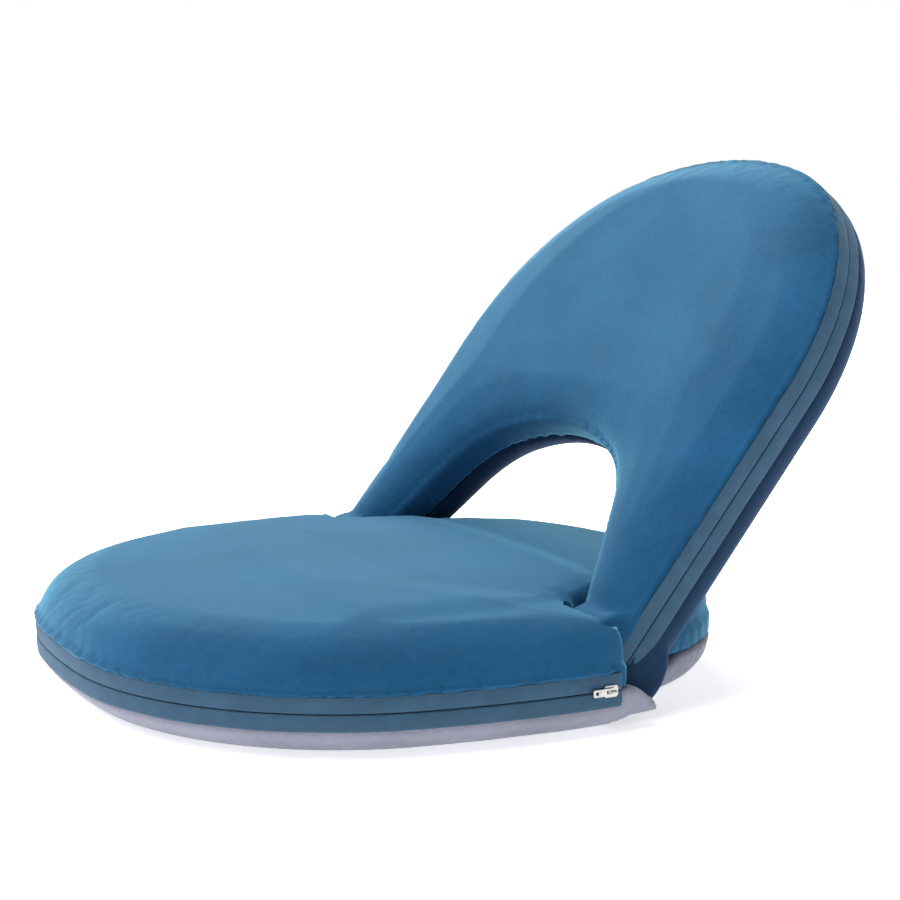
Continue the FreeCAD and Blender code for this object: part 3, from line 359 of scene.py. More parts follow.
def ramp(tree, source, stops):
    made = node(tree, "ShaderNodeValToRGB", {"Fac": source})
    band = made.color_ramp
    while len(band.elements) < len(stops):
        band.elements.new(0.5)
    for element, (position, colour) in zip(band.elements, stops):
        element.position = position
        element.color = tuple(colour) + (1,)
    return made.outputs["Color"]


def place(tree, kind="Object"):
    return node(tree, "ShaderNodeTexCoord").outputs[kind]


def stretched(tree, vector, scale):
    return node(tree, "ShaderNodeMapping", {"Vector": vector, "Scale": scale}).outputs["Vector"]


def speckle(tree, vector, scale, detail=3.0, rough=0.5):
    made = node(tree, "ShaderNodeTexNoise", {
        "Vector": vector, "Scale": scale, "Detail": detail, "Roughness": rough})
    return made.outputs["Fac"]


def maths(tree, operation, a, b=0.0, c=0.0):
    made = tree.nodes.new("ShaderNodeMath")
    made.operation = operation
    for index, value in enumerate((a, b, c)):
        if isinstance(value, bpy.types.NodeSocket):
            tree.links.new(value, made.inputs[index])
        else:
            made.inputs[index].default_value = value
    return made.outputs[0]


def weighed(tree, a, share_a, b, share_b):
    """The sum of two sockets, each times its share."""
    return maths(tree, "ADD", maths(tree, "MULTIPLY", a, share_a), maths(tree, "MULTIPLY", b, share_b))


def waves(tree, along, pitch):
    return maths(tree, "SINE", maths(tree, "MULTIPLY", along, 2 * math.pi / pitch))


def marked(tree, under, mask, colour):
    """The colour under it, with another one where the mask is 1."""
    mix = node(tree, "ShaderNodeMix", {"Factor": mask}, data_type="RGBA")
    tree.links.new(under, mix.inputs[MIX_UNDER])
    mix.inputs[MIX_OVER].default_value = colour
    return mix.outputs[MIX_RESULT]


def bumps(tree, shader, layers):
    """Chains bump nodes: each layer is (height socket, strength, depth in metres)."""
    normal = None
    for height, strength, depth in layers:
        made = node(tree, "ShaderNodeBump", {
            "Height": height, "Strength": strength, "Distance": depth})
        if normal:
            tree.links.new(normal, made.inputs["Normal"])
        normal = made.outputs["Normal"]
    tree.links.new(normal, shader.inputs["Normal"])


def needle_marks(tree, at, density=62.0, radius=0.055, left_out=0.62):
    """1 at a few scattered needle holes, 0 elsewhere."""
    cells = node(tree, "ShaderNodeTexVoronoi", {"Vector": at, "Scale": density, "Randomness": 1.0})
    dot = maths(tree, "LESS_THAN", cells.outputs["Distance"], radius)
    pick = node(tree, "ShaderNodeSeparateColor", {"Color": cells.outputs["Color"]}).outputs["Red"]
    return maths(tree, "MULTIPLY", dot, maths(tree, "GREATER_THAN", pick, left_out))


def velvet(name, dark, light, sheen, tint, sheen_rough=0.4):
    """Short pile: colour drifts with the lie of the pile, a fine tooth, soft sheen at grazing light."""
    material, tree, shader = new_material(name)
    at = place(tree)
    drift = speckle(tree, stretched(tree, at, (1.0, 0.7, 1.4)), 9.0, 4.0, 0.6)
    fine = speckle(tree, at, 260.0, 2.0)
    tooth = speckle(tree, at, 1500.0, 2.0)
    mix = weighed(tree, drift, 0.72, fine, 0.28)
    colour = ramp(tree, mix, [(0.36, dark), (0.64, light)])
    tree.links.new(colour, shader.inputs["Base Color"])
    shader.inputs["Roughness"].default_value = 0.82
    shader.inputs["Specular IOR Level"].default_value = 0.2
    shader.inputs["Sheen Weight"].default_value = sheen
    shader.inputs["Sheen Roughness"].default_value = sheen_rough
    shader.inputs["Sheen Tint"].default_value = tuple(tint) + (1,)
    bumps(tree, shader, [(tooth, 0.35, 0.0006), (fine, 0.18, 0.0008), (drift, 0.10, 0.004)])
    return material


def woven(name, dark, light, pitch, rough, wrinkle=0.0, sheen=0.0):
    """Plain weave of that pitch, with soft wrinkles and needle holes if asked for."""
    material, tree, shader = new_material(name)
    at = place(tree)
    threads = []
    for turn in ((0, 0, 0.3), (0.2, 0, 1.87)):
        lie = node(tree, "ShaderNodeMapping", {"Vector": at, "Rotation": turn}).outputs["Vector"]
        threads.append(node(tree, "ShaderNodeTexWave", {
            "Vector": lie, "Scale": 1 / (pitch * math.pi), "Distortion": 0.6,
            "Detail": 1.0}, wave_type="BANDS", bands_direction="X").outputs["Fac"])
    weave = maths(tree, "MAXIMUM", *threads)
    drift = speckle(tree, at, 14.0, 4.0, 0.6)
    mix = weighed(tree, drift, 0.75, weave, 0.25)
    colour = ramp(tree, mix, [(0.35, dark), (0.75, light)])
    if wrinkle:
        colour = marked(tree, colour, needle_marks(tree, at), (0.05, 0.05, 0.08, 1))
    tree.links.new(colour, shader.inputs["Base Color"])
    shader.inputs["Roughness"].default_value = rough
    shader.inputs["Sheen Weight"].default_value = sheen
    layers = [(weave, 0.25, pitch * 0.4)]
    if wrinkle:
        folds = speckle(tree, stretched(tree, at, (1.0, 1.0, 0.6)), 55.0, 4.0, 0.62)
        broad = speckle(tree, at, 21.0, 3.0, 0.6)
        layers += [(folds, 0.5, wrinkle), (broad, 0.5, wrinkle * 2)]
    bumps(tree, shader, layers)
    return material


def metal(name, colour, rough, metallic=1.0, scratch=0.0003):
    material, tree, shader = new_material(name)
    at = place(tree)
    brushed = speckle(tree, stretched(tree, at, (900, 120, 900)), 1.0, 4.0, 0.7)
    wear = speckle(tree, at, 180.0, 4.0, 0.6)
    low = [c * 0.72 for c in colour]
    tree.links.new(ramp(tree, wear, [(0.35, low), (0.62, colour)]), shader.inputs["Base Color"])
    tree.links.new(
        node(tree, "ShaderNodeMapRange", {"Value": wear, "To Min": rough * 0.8, "To Max": rough * 1.3})
        .outputs["Result"], shader.inputs["Roughness"])
    shader.inputs["Metallic"].default_value = metallic
    bumps(tree, shader, [(brushed, 0.2, scratch), (wear, 0.1, scratch)])
    return material


def moulded(name, colour, rough):
    material, tree, shader = new_material(name)
    at = place(tree)
    grain = speckle(tree, at, 900.0, 3.0)
    drift = speckle(tree, at, 60.0, 3.0)
    low = [c * 0.85 for c in colour]
    tree.links.new(ramp(tree, drift, [(0.4, low), (0.6, colour)]), shader.inputs["Base Color"])
    shader.inputs["Roughness"].default_value = rough
    bumps(tree, shader, [(grain, 0.15, 0.0003)])
    return material


def open_foam(name):
    material, tree, shader = new_material(name)
    at = place(tree)
    cells = node(tree, "ShaderNodeTexVoronoi", {"Vector": at, "Scale": 700.0}).outputs["Distance"]
    drift = speckle(tree, at, 20.0)
    mix = weighed(tree, cells, 0.4, drift, 0.6)
    tree.links.new(ramp(tree, mix, [(0.3, (0.55, 0.50, 0.36)), (0.7, (0.82, 0.79, 0.66))]),
                   shader.inputs["Base Color"])
    shader.inputs["Roughness"].default_value = 0.95
    bumps(tree, shader, [(cells, 0.6, 0.0008)])
    return material


def tape_cloth(name, dark, light):
    """Zipper tape: ribs along the run and a row of stitches, laid by the UV map (run, across)."""
    material, tree, shader = new_material(name)
    at = place(tree, "UV")
    split = node(tree, "ShaderNodeSeparateXYZ", {"Vector": at})
    run, across = split.outputs["X"], split.outputs["Y"]
    rib = waves(tree, across, RIB_PITCH)
    twill = waves(tree, maths(tree, "ADD", run, across), TWILL_PITCH)
    drift = speckle(tree, place(tree), 70.0, 4.0)
    cloth = ramp(tree, weighed(tree, drift, 0.7, twill, 0.12), [(0.2, dark), (0.62, light)])
    dash = maths(tree, "GREATER_THAN", waves(tree, run, STITCH_PITCH), -0.35)
    off_row = maths(tree, "ABSOLUTE", maths(tree, "SUBTRACT", across, STITCH_ROW))
    stitch = maths(tree, "MULTIPLY", maths(tree, "LESS_THAN", off_row, STITCH_HALF_WIDTH), dash)
    painted = marked(tree, cloth, stitch, (0.02, 0.06, 0.10, 1))
    tree.links.new(painted, shader.inputs["Base Color"])
    shader.inputs["Roughness"].default_value = 0.7
    shader.inputs["Sheen Weight"].default_value = 0.12
    shader.inputs["Sheen Tint"].default_value = (0.4, 0.75, 1.0, 1)
    bumps(tree, shader, [(rib, 0.25, 0.00025), (twill, 0.2, 0.0002), (stitch, -0.6, 0.0005)])
    return material


VELVET = velvet(
    "velvet", dark=(0.004, 0.056, 0.140), light=(0.008, 0.088, 0.205), sheen=1.0,
    tint=(0.27, 0.72, 1.0), sheen_rough=0.35)
# Darker, less glossy copy of the velvet for the back's rear half and the arch wall: painted shade on the
# same blue cloth where it lies away from the light
SHADED_VELVET = velvet(
    "rear_velvet", dark=(0.002, 0.016, 0.046), light=(0.004, 0.028, 0.074), sheen=0.25,
    tint=(0.3, 0.55, 1.0))
NYLON = woven(
    "nylon", dark=(0.17, 0.18, 0.24), light=(0.25, 0.26, 0.34), pitch=0.0009, rough=0.55,
    wrinkle=0.005, sheen=0.1)
WEBBING = woven(
    "webbing", dark=(0.015, 0.015, 0.018), light=(0.05, 0.05, 0.06), pitch=0.002, rough=0.8)
TAPE = tape_cloth("zipper_tape", (0.010, 0.056, 0.115), (0.020, 0.088, 0.165))
COIL = moulded("zipper_coil", (0.012, 0.035, 0.06), rough=0.4)
ZINC = metal("slider_zinc", (0.52, 0.51, 0.50), rough=0.32)
HINGE = metal("hinge_steel", (0.55, 0.56, 0.58), rough=0.35)
SPRING = metal("spring_steel", (0.28, 0.29, 0.33), rough=0.3)
PAINT = metal("frame_steel", (0.03, 0.03, 0.034), rough=0.45, metallic=0.3)
BUSH = moulded("nylon_bush", (0.75, 0.75, 0.72), rough=0.5)
FOAM = open_foam("foam")
EDGE = 0.00025

BY_SLOT = {
    "velvet": VELVET, "rear_velvet": SHADED_VELVET, "nylon": NYLON, "foam": FOAM, "webbing": WEBBING,
    "zipper_tape": TAPE, "zipper_coil": COIL, "slider_zinc": ZINC, "frame_steel": PAINT,
    "hinge_steel": HINGE, "spring_steel": SPRING, "nylon_bush": BUSH}
for entry in frame["record"]["subparts"]:
    cad = frame["nodes"][entry["node"]]
    cad.data.materials.clear()
    cad.data.materials.append(BY_SLOT[entry["material_slot"]])
    if entry["material_slot"] in ("slider_zinc", "hinge_steel"):
        edge = cad.modifiers.new("edge", "BEVEL")
        edge.width = EDGE
        edge.segments = 2
        edge.limit_method = "ANGLE"


# Cushions

disc_flat, tail_flat = Flat(DISC), Flat(TAIL)
back_flat, arch_flat = Flat(BACK), Flat(ARCH)

# How far the drawn cloth stands inside the solid's wall, and half the seam between the back's cloths
INSET = 0.0004
BACK_SEAM_HALF = 0.0004

# How softly two surfaces run into each other
OUTLINE_BLEND = 0.004
SHOULDER_BLEND = 0.010
SLOT_BLEND = 0.005
TAIL_TOP_BLEND = 0.014
TAIL_LOW_BLEND = 0.006
EDGE_BLEND = 0.003
LIP_REAR_BLEND = 0.008
LEG_BLEND = 0.006
HEEL_BLEND = 0.002

# Foam: where the crown of each cushion begins, its height and reach, and the drop of its rim
CROWN_START = 0.01
SEAT_CROWN = 0.009
SEAT_CROWN_REACH = 0.07
FRONT_CROWN = 0.007
REAR_CROWN = 0.004
BACK_CROWN_REACH = 0.06
CROWN_DROP = 0.001
REAR_CROWN_DROP = 0.0005

# Rounding of each cushion's rim, and how much less it is at the seat's shoulders
SEAT_RIM = 0.036
SHOULDER_RIM_LESS = 0.012
UNDER_RIM = 0.031
FRONT_RIM = 0.025
REAR_RIM = 0.026
HEEL_RIM = 0.008

# Small steps: the underside above the floor, room round a heel, a heel's shift outwards, the
# gap between the back and the shoulders
UNDER_LIFT = 0.0003
HEEL_GAP = 0.0006
HEEL_SHIFT = 0.0005
SHOULDER_GAP = 0.0008

# Zipper bands: how deep the tapes lie, how soft their border is, the gathers along it, and how
# far in from the back's outer edge the soft roll beside them reaches
TAPE_SINK = 0.0022
BORDER = 0.004
GATHER = 0.0003
GATHER_REACH = 0.007
ROLL_REACH = 0.02

# Between the legs the seat's disc runs on to the rear
SADDLE_REACH = 0.07
SADDLE_RISE = 0.05

# Lip of the underside beside each heel: its rear edge slants at 54 degrees, then ends
LIP_START = 0.005
LIP_SLANT = (0.588, 0.809)
LIP_END = 0.022

# Hole at each shoulder: its three half widths and depth, and the height and reach of its creases
HOLE_HALVES = (0.011, 0.006, 0.013)
HOLE_DEPTH = 0.006
CREASE = 0.0007
CREASE_REACH = 0.022

# On the wall of the arch the back's seam lies towards the rear
ARCH_SEAM_SHIFT = 0.009

# Cloth step: the border above the tapes that stays held, and the most that a point may move
HELD_BORDER = 0.004
MOST_MOVE = 0.0025


def seat_plan(x, y):
    """Distance to the seat's outline from above: the disc in front of the shoulders, and the tail."""
    disc = smooth_max(disc_flat(x, y), y - SHOULDER_Y, OUTLINE_BLEND)
    return smooth_min(disc, tail_flat(x, y), OUTLINE_BLEND)


def hinge_room(points):
    """Distance past the round room that each heel turns in, beside the tail."""
    out = HEEL + HEEL_GAP - np.hypot(points[:, 1], points[:, 2] - PIVOT_Z)
    across = np.abs(points[:, 0])
    return np.minimum(out, np.minimum(across - FOOT_IN + SLOT_GAP, FOOT_OUT + LIP_GAP - across))


def past_legs(points, turn=BACK_TURN):
    """Distance to the room behind the legs or seen through the arch, where the tail may be."""
    x, v, w = to_back(points, turn).T
    return np.minimum(w + BACK_REAR + SLOT_GAP, arch_flat(x, v) + SLOT_GAP)


def crown(plan, height, reach):
    """How far the foam lifts the cloth, from nothing near the rim."""
    deep = np.maximum(-plan - CROWN_START, 0)
    return height * (1 - np.exp(-(deep / reach) ** 1.4))


def roll(level, middle, half_width, height):
    """How far the cloth bulges in a soft roll beside the zipper's band."""
    return height * np.exp(-((level - middle) / half_width) ** 2)


def on_tapes(off_seam):
    """1 where the zipper's tapes lie, 0 elsewhere, by the distance from the seam."""
    return smooth_step(BAND_HALF + BORDER / 2 - np.abs(off_seam), 0, BORDER)


def pucker(x, y, off_band):
    """Small gathers of the cloth along the border of a zipper's tape."""
    along = np.arctan2(y + 0.06, x) * SEAT_HALF
    return GATHER * np.sin(along * 330 + 1.7 * np.sin(along * 41)) * np.exp(-(off_band / GATHER_REACH) ** 2)


def dimple(points):
    """Hole at each shoulder, where the seat's cloth is drawn down beside the leg, and its creases."""
    x, y, z = points.T
    a, b, c = np.abs(x) - DIMPLE[0], y - DIMPLE[1], z - DIMPLE[2]
    hole = 1 - np.sqrt(
        (a / HOLE_HALVES[0]) ** 2 + (b / HOLE_HALVES[1]) ** 2 + (c / HOLE_HALVES[2]) ** 2)
    far = np.sqrt(a * a + b * b + c * c)
    rays = np.cos(np.arctan2(b, a) * 7 + 0.8)
    crease = CREASE * rays * np.exp(-(far / CREASE_REACH) ** 2) * smooth_step(far, 0.004, 0.012)
    return hole * HOLE_DEPTH, crease


def seat_shell(points, wall, up, radius):
    """The disc cut at the shoulders and the tail, both with that rim."""
    x, y, _ = points.T
    between_legs = smooth_step(FOOT_IN - LIP_GAP - np.abs(x), 0, SADDLE_RISE)
    rear = y - SHOULDER_Y - SADDLE_REACH * between_legs
    disc = smooth_max(rounded(disc_flat(x, y) + wall, up, radius), rear, SHOULDER_BLEND)
    tail = smooth_max(rounded(tail_flat(x, y) + wall, up, radius), past_legs(points), SLOT_BLEND)
    return disc, tail


def seat_top_field(points):
    x, y, z = points.T
    lift = crown(seat_plan(x, y), SEAT_CROWN, SEAT_CROWN_REACH)
    bulge = roll(z, 0.0475, 0.006, 0.0022) * smooth_step(-y, 0.015, 0.03)
    hole, crease = dimple(points)
    groove = TAPE_SINK * (on_tapes(z - SEAM_Z) * smooth_step(-y, 0.012, 0.020))
    wall = groove + INSET - bulge + pucker(x, y, z - SEAM_Z - BAND_HALF)
    rim = SEAT_RIM - SHOULDER_RIM_LESS * smooth_step(y, -0.12, -0.01)
    disc, tail = seat_shell(points, wall, z - (SEAT_TOP - CROWN_DROP + lift - crease), rim)
    shell = smooth_max(smooth_min(disc, tail, TAIL_TOP_BLEND), hole, EDGE_BLEND)
    return smooth_max(np.maximum(shell, SEAM_Z + HALF_SLIT - z), hinge_room(points), EDGE_BLEND)


def seat_low_field(points):
    x, y, z = points.T
    bulge = roll(z, 0.0165, 0.005, 0.0016) * smooth_step(-y, 0.015, 0.03)
    groove = TAPE_SINK * (on_tapes(z - SEAM_Z) * smooth_step(-y, 0.012, 0.020))
    wall = groove + INSET - bulge + pucker(x, y, SEAM_Z - BAND_HALF - z)
    down = -z + UNDER_LIFT
    disc, tail = seat_shell(points, wall, down, UNDER_RIM)
    tail = smooth_max(tail, past_legs(points, leaning(RECLINE + LOWEST_TURN)), SLOT_BLEND)
    slant = (y - SHOULDER_Y - LIP_START) * LIP_SLANT[0] + (z - SEAM_Z) * LIP_SLANT[1]
    rear_edge = smooth_max(slant, y - LIP_END, LIP_REAR_BLEND)
    lip = smooth_max(rounded(disc_flat(x, y) + wall, down, UNDER_RIM), rear_edge, EDGE_BLEND)
    lip = smooth_max(lip, FOOT_OUT + LIP_GAP - np.abs(x), EDGE_BLEND)
    shell = smooth_min(smooth_min(disc, tail, TAIL_LOW_BLEND), lip, OUTLINE_BLEND)
    return smooth_max(np.maximum(shell, z - SEAM_Z + HALF_SLIT), hinge_room(points), EDGE_BLEND)


def back_plan(x, v):
    return smooth_max(back_flat(x, v), -arch_flat(x, v), OUTLINE_BLEND)


def towards_arch(x, v):
    """Positive where the arch is nearer than the outer edge."""
    return -arch_flat(x, v) - back_flat(x, v)


def back_seam(x, v):
    """How far to the front of the middle the seam lies: towards the rear on the arch."""
    nearer_arch = smooth_step(towards_arch(x, v), 0.004, 0.020)
    return -ARCH_SEAM_SHIFT * nearer_arch * smooth_step(v, 0.02, 0.05)


def back_groove(x, v, w):
    """How far the outer wall stands back under the zipper's tapes, with gathers along their borders."""
    outside = smooth_step(towards_arch(x, v), -0.004, -0.02)
    gathers = pucker(x, v - 0.2, np.abs(w) - BAND_HALF)
    return outside * (TAPE_SINK * on_tapes(w) + gathers)


def heel_field(x, v, w):
    """Round end of each leg about the fold axis."""
    across = np.maximum(np.abs(x) - FOOT_OUT - HEEL_SHIFT, FOOT_IN + HEEL_SHIFT - np.abs(x))
    return rounded(across, np.hypot(v, w) - HEEL, HEEL_RIM)


def back_front_field(points):
    """Front half of the back in its own lie, cut to clear the seat's shoulders."""
    x, v, w = points.T
    plan = back_plan(x, v)
    lift = crown(plan, FRONT_CROWN, BACK_CROWN_REACH)
    wall = plan + back_groove(x, v, w) + INSET
    bulge = roll(w, 0.0145, 0.005, 0.0020) * (back_flat(x, v) > -ROLL_REACH)
    shell = rounded(wall - bulge, w - (BACK_FRONT - CROWN_DROP + lift), FRONT_RIM)
    y = v * math.cos(RECLINE) - w * math.sin(RECLINE)
    leg = smooth_max(shell, SHOULDER_Y + SHOULDER_GAP - y, LEG_BLEND)
    leg = np.maximum(leg, -v)
    heel = heel_field(x, v, w)
    return np.maximum(smooth_min(leg, heel, HEEL_BLEND), back_seam(x, v) + BACK_SEAM_HALF - w)


def back_rear_field(points):
    """Rear half of the back in its own lie."""
    x, v, w = points.T
    plan = back_plan(x, v)
    lift = crown(plan, REAR_CROWN, BACK_CROWN_REACH)
    wall = plan + back_groove(x, v, w) + INSET
    leg = np.maximum(rounded(wall, -w - (BACK_REAR - REAR_CROWN_DROP + lift), REAR_RIM), -v)
    heel = heel_field(x, v, w)
    return np.maximum(smooth_min(leg, heel, HEEL_BLEND), w - back_seam(x, v) + BACK_SEAM_HALF)


def puff(thing, held, cap, frames=10):
    """Blows a cushion up as cloth, then keeps its wrinkles and gathers without the growth."""
    mesh = thing.data
    count = len(mesh.vertices)
    before, way, after = np.empty(count * 3), np.empty(count * 3), np.empty(count * 3)
    mesh.vertices.foreach_get("co", before)
    mesh.vertex_normals.foreach_get("vector", way)
    before, way = before.reshape(-1, 3), way.reshape(-1, 3)
    pins = thing.vertex_groups.new(name="held")
    pins.add([int(k) for k in np.flatnonzero(held(before))], 1.0, "REPLACE")
    air = thing.modifiers.new("air", "CLOTH")
    air.settings.quality = 3
    air.settings.mass = 0.3
    air.settings.use_pressure = True
    air.settings.uniform_pressure_force = 4.0
    air.settings.effector_weights.gravity = 0.0
    air.settings.vertex_group_mass = pins.name
    air.settings.shrink_min = -0.002
    air.point_cache.frame_end = frames
    scene = bpy.context.scene
    for frame_number in range(1, frames + 1):
        scene.frame_set(frame_number)
    filled = thing.evaluated_get(bpy.context.evaluated_depsgraph_get()).data
    filled.vertices.foreach_get("co", after)
    move = after.reshape(-1, 3) - before
    size = np.linalg.norm(move, axis=1)
    move *= (np.minimum(size, cap) / np.maximum(size, 1e-9))[:, None]
    grown = (move * way).sum(1)
    move -= way * np.median(grown[grown > np.median(grown) * 0.5])
    move[held(before)] = 0
    thing.modifiers.remove(air)
    thing.vertex_groups.remove(pins)
    scene.frame_set(1)
    mesh.vertices.foreach_set("co", (before + move).ravel())
    mesh.update()


def cushion(name, field, low, high, body, material, nodes, local=False):
    """Mesh of a field between two corners; local ones are drawn in the back's own lie."""
    points, faces = net(field, low, high, VOXEL)
    if local:
        points = from_back(points)
    made = piece(name, points, faces, body, material)
    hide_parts(*nodes)
    return made


seat_top = cushion(
    "seat_cushion", seat_top_field, (-0.272, -0.346, 0.024), (0.272, 0.215, 0.100),
    "seat", VELVET, ["seat_top_cover", "seat_foam"])
seat_low = cushion(
    "seat_under_shell", seat_low_field, (-0.272, -0.346, -0.008), (0.272, 0.215, 0.040),
    "seat", NYLON, ["seat_bottom_cover", "seat_base_pad"])
back_front = cushion(
    "back_cushion", back_front_field, (-0.258, -0.042, -0.016), (0.258, 0.447, 0.052),
    "back", VELVET, ["back_front_cover", "back_foam"], local=True)
# The rear shell takes the darker copy of the velvet, which is painted shade
back_rear = cushion(
    "back_rear_shell", back_rear_field, (-0.258, -0.042, -0.052), (0.258, 0.447, 0.008),
    "back", SHADED_VELVET, ["back_rear_cover", "back_rear_pad"], local=True)
puff(seat_top, lambda p: p[:, 2] < SEAM_Z + BAND_HALF + HELD_BORDER, MOST_MOVE)
puff(back_front, lambda p: to_back(p)[:, 2] < BAND_HALF + HELD_BORDER, MOST_MOVE)
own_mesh(seat_top)
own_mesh(back_front)


# Zippers

TAPE_STEP = 0.004
TAPE_TUCK = 0.0008
TAPE_BACK = -0.0012
TAPE_BOW = 0.0004
TAPE_WAVE = 0.0002
TOOTH_PITCH = 0.0016
TOOTH_SINK = 0.0016
TOOTH_SHIFT = 0.0005
TOOTH_HALF_WIDTH = 0.00055
TOOTH_HALF_LENGTH = 0.0016
# Each tooth's three rings, from its foot to its top: height and share of the full width
TOOTH_RINGS = ((-0.0008, 1.0), (0.0003, 1.0), (0.0007, 0.62))


def closed(half):
    """A right half run and its mirror image, with one point where they meet."""
    return np.vstack([half, half[-2::-1] * [-1, 1]])


def spaced(path, step):
    """Points evenly spaced along a run of points, with the distance run."""
    gaps = np.hypot(*np.diff(path, axis=0).T)
    run = np.concatenate([[0], np.cumsum(gaps)])
    count = int(run[-1] / step) + 1
    at = np.linspace(0, run[-1], count)
    return np.stack([np.interp(at, run, path[:, k]) for k in (0, 1)], -1), at


def outward(path):
    """Unit normals pointing out of a run that goes clockwise or counter-clockwise round its middle."""
    way = np.gradient(path, axis=0)
    way /= np.hypot(*way.T)[:, None]
    side = np.stack([way[:, 1], -way[:, 0]], -1)
    centre = path.mean(0)
    if ((path - centre) * side).sum() < 0:
        side = -side
    return side, way


def tape(name, path, middle, sign, body, nodes, lift):
    """One zipper tape: a thin ribbon, bowed a little, along the outline."""
    spots, run = spaced(path, TAPE_STEP)
    side, _ = outward(spots)
    across = np.linspace(HALF_SLIT, BAND_HALF + TAPE_TUCK, 9)
    points, uvs = [], []
    for k in range(len(spots)):
        for level in (0, 1):
            for a in across:
                t = (a - HALF_SLIT) / (BAND_HALF - HALF_SLIT)
                bow = TAPE_BOW * math.sin(math.pi * t) + TAPE_WAVE * math.sin(run[k] * 90 + 2 * sign) * t
                out = (0.0001 + bow) if level == 0 else TAPE_BACK
                p = spots[k] + side[k] * out
                points.append((p[0], p[1], middle + sign * a))
                uvs.append((run[k], a))
    row = 2 * len(across)
    faces = []
    for k in range(len(spots) - 1):
        for j in range(len(across) - 1):
            a, b = k * row + j, (k + 1) * row + j
            faces.append((a, b, b + 1, a + 1))
            c, d = a + len(across), b + len(across)
            faces.append((c, c + 1, d + 1, d))
        for j in (0, len(across) - 1):
            a, b = k * row + j, (k + 1) * row + j
            c, d = a + len(across), b + len(across)
            faces.append((a, c, d, b) if j == 0 else (a, b, d, c))
    points = np.array(points)
    if lift:
        points = from_back(points)
    made = piece(name, points, faces, body, TAPE)
    layer = made.data.uv_layers.new(name="run")
    for loop in made.data.loops:
        layer.data[loop.index].uv = uvs[loop.vertex_index]
    bm = bmesh.new()
    bm.from_mesh(made.data)
    bmesh.ops.recalc_face_normals(bm, faces=bm.faces)
    bm.to_mesh(made.data)
    bm.free()
    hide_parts(nodes)
    return made


def teeth(name, path, middle, body, replaced, lift):
    """Coil of the closed zipper: short interlocking humps from both tapes."""
    spots, _ = spaced(path, TOOTH_PITCH)
    side, way = outward(spots)
    points, faces = [], []
    for k in range(len(spots)):
        sign = 1 if k % 2 else -1
        centre = np.array([*(spots[k] - side[k] * TOOTH_SINK), middle + sign * TOOTH_SHIFT])
        u = np.array([*way[k], 0]) * TOOTH_HALF_WIDTH
        n = np.array([*side[k], 0])
        z = np.array([0, 0, TOOTH_HALF_LENGTH])
        first = len(points)
        for out, shrink in TOOTH_RINGS:
            for a, b in ((-1, -1), (1, -1), (1, 1), (-1, 1)):
                points.append(centre + n * out + u * a * shrink + z * b * (0.75 + 0.25 * shrink))
        for level in (0, 4):
            for j in range(4):
                a, b = first + level + j, first + level + (j + 1) % 4
                faces.append((a, b, b + 4, a + 4))
        faces.append((first + 8, first + 9, first + 10, first + 11))
        faces.append((first + 3, first + 2, first + 1, first))
    points = np.array(points)
    if lift:
        points = from_back(points)
    made = piece(name, points, faces, body, COIL)
    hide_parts(replaced)
    return made


seat_run = closed(disc_half(rear_y=-0.016))
back_run = closed(dome_half(*BACK_SIZES, base=0.0))
tape("seat_tape_upper", seat_run, SEAM_Z, 1, "seat", "seat_zipper_tape_upper", lift=False)
tape("seat_tape_lower", seat_run, SEAM_Z, -1, "seat", "seat_zipper_tape_lower", lift=False)
teeth("seat_chain", seat_run, SEAM_Z, "seat", "seat_zipper_coil", lift=False)
tape("back_tape_front", back_run, 0.0, 1, "back", "back_zipper_tape_front", lift=True)
tape("back_tape_rear", back_run, 0.0, -1, "back", "back_zipper_tape_rear", lift=True)
teeth("back_chain", back_run, 0.0, "back", "back_zipper_coil", lift=True)


# Studio

FLOOR_Z = -0.0006
# The world is white towards this side and grey on the other, with a soft change between two shares
WHITE_SIDE = (-0.892, 0.452, 0.0)
GREY_SHARE = 0.30
WHITE_SHARE = 0.85
WORLD_GREY = 0.36

# Camera by the perspective fit: lengths in metres, the focal length in the photo's pixels
CAMERA_AZIMUTH = math.radians(63.14)
CAMERA_ELEVATION = math.radians(7.58)
CAMERA_TARGET = Vector((-0.03265, 0.00154, 0.15966))
CAMERA_AWAY = 1.455
FOCAL_PIXELS = 1779.45
PHOTO_PIXELS = 900
SENSOR = 36


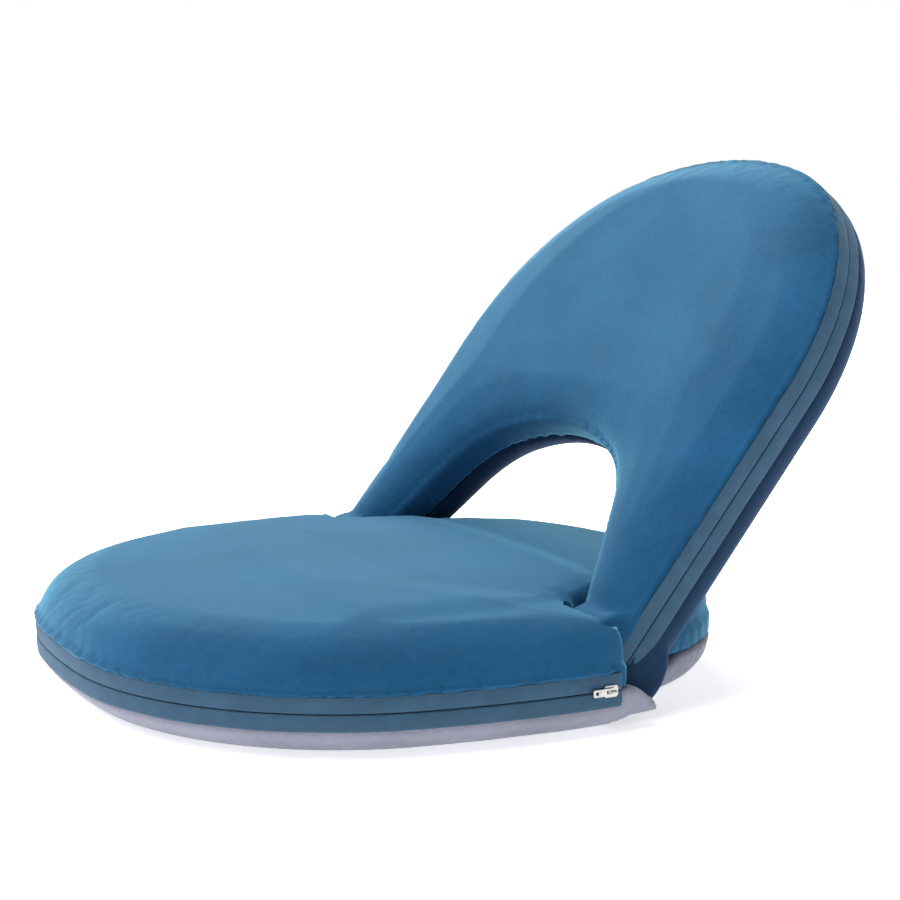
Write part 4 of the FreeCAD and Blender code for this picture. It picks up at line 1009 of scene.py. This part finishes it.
def backdrop(scene):
    world = bpy.data.worlds.new("studio")
    scene.world = world
    world.use_nodes = True
    tree = world.node_tree
    sky = tree.nodes["Background"]
    towards = node(tree, "ShaderNodeVectorMath", {
        0: place(tree, "Generated"), 1: WHITE_SIDE}, operation="DOT_PRODUCT").outputs["Value"]
    wrap = node(tree, "ShaderNodeMapRange", {
        "Value": towards, "From Min": GREY_SHARE, "From Max": WHITE_SHARE, "To Min": 0.0, "To Max": 1.0})
    colour = ramp(tree, wrap.outputs["Result"], [(0.0, (WORLD_GREY,) * 3), (1.0, (1, 1, 1))])
    tree.links.new(colour, sky.inputs["Color"])
    sky.inputs["Strength"].default_value = 1.0


def white_floor():
    bpy.ops.mesh.primitive_plane_add(size=14, location=(0, 0, FLOOR_Z))
    floor = bpy.context.object
    floor.name = "floor"
    material, _, shader = new_material("studio_floor")
    shader.inputs["Base Color"].default_value = (1, 1, 1, 1)
    shader.inputs["Roughness"].default_value = 1.0
    shader.inputs["Specular IOR Level"].default_value = 0.0
    shader.inputs["Emission Color"].default_value = (1, 1, 1, 1)
    shader.inputs["Emission Strength"].default_value = 0.6
    floor.data.materials.append(material)


def lamp(scene, name, kind, at, power, **settings):
    """A light at that place, turned towards the origin."""
    light = bpy.data.lights.new(name, kind)
    light.energy = power
    for key, value in settings.items():
        setattr(light, key, value)
    holder = bpy.data.objects.new(name, light)
    scene.collection.objects.link(holder)
    holder.location = at
    holder.rotation_euler = Vector(at).to_track_quat("Z", "Y").to_euler()


def photo_camera(scene):
    camera = bpy.data.cameras.new("camera")
    holder = bpy.data.objects.new("camera", camera)
    scene.collection.objects.link(holder)
    back = Vector((
        math.sin(CAMERA_AZIMUTH) * math.cos(CAMERA_ELEVATION),
        -math.cos(CAMERA_AZIMUTH) * math.cos(CAMERA_ELEVATION),
        math.sin(CAMERA_ELEVATION)))
    holder.location = CAMERA_TARGET + back * CAMERA_AWAY
    holder.rotation_euler = (-back).to_track_quat("-Z", "Y").to_euler()
    camera.sensor_width = SENSOR
    camera.lens = FOCAL_PIXELS * SENSOR / PHOTO_PIXELS
    camera.clip_start = 0.05
    camera.clip_end = 50
    scene.camera = holder


def studio():
    scene = bpy.context.scene
    backdrop(scene)
    white_floor()
    lamp(scene, "overhead", "SUN", (-0.35, -0.85, 1.9), 3.1, angle=math.radians(60))
    lamp(scene, "rim", "AREA", (-2.4, 0.8, 1.6), 34, shape="DISK", size=1.4)
    photo_camera(scene)
    scene.view_settings.view_transform = "Standard"


studio()
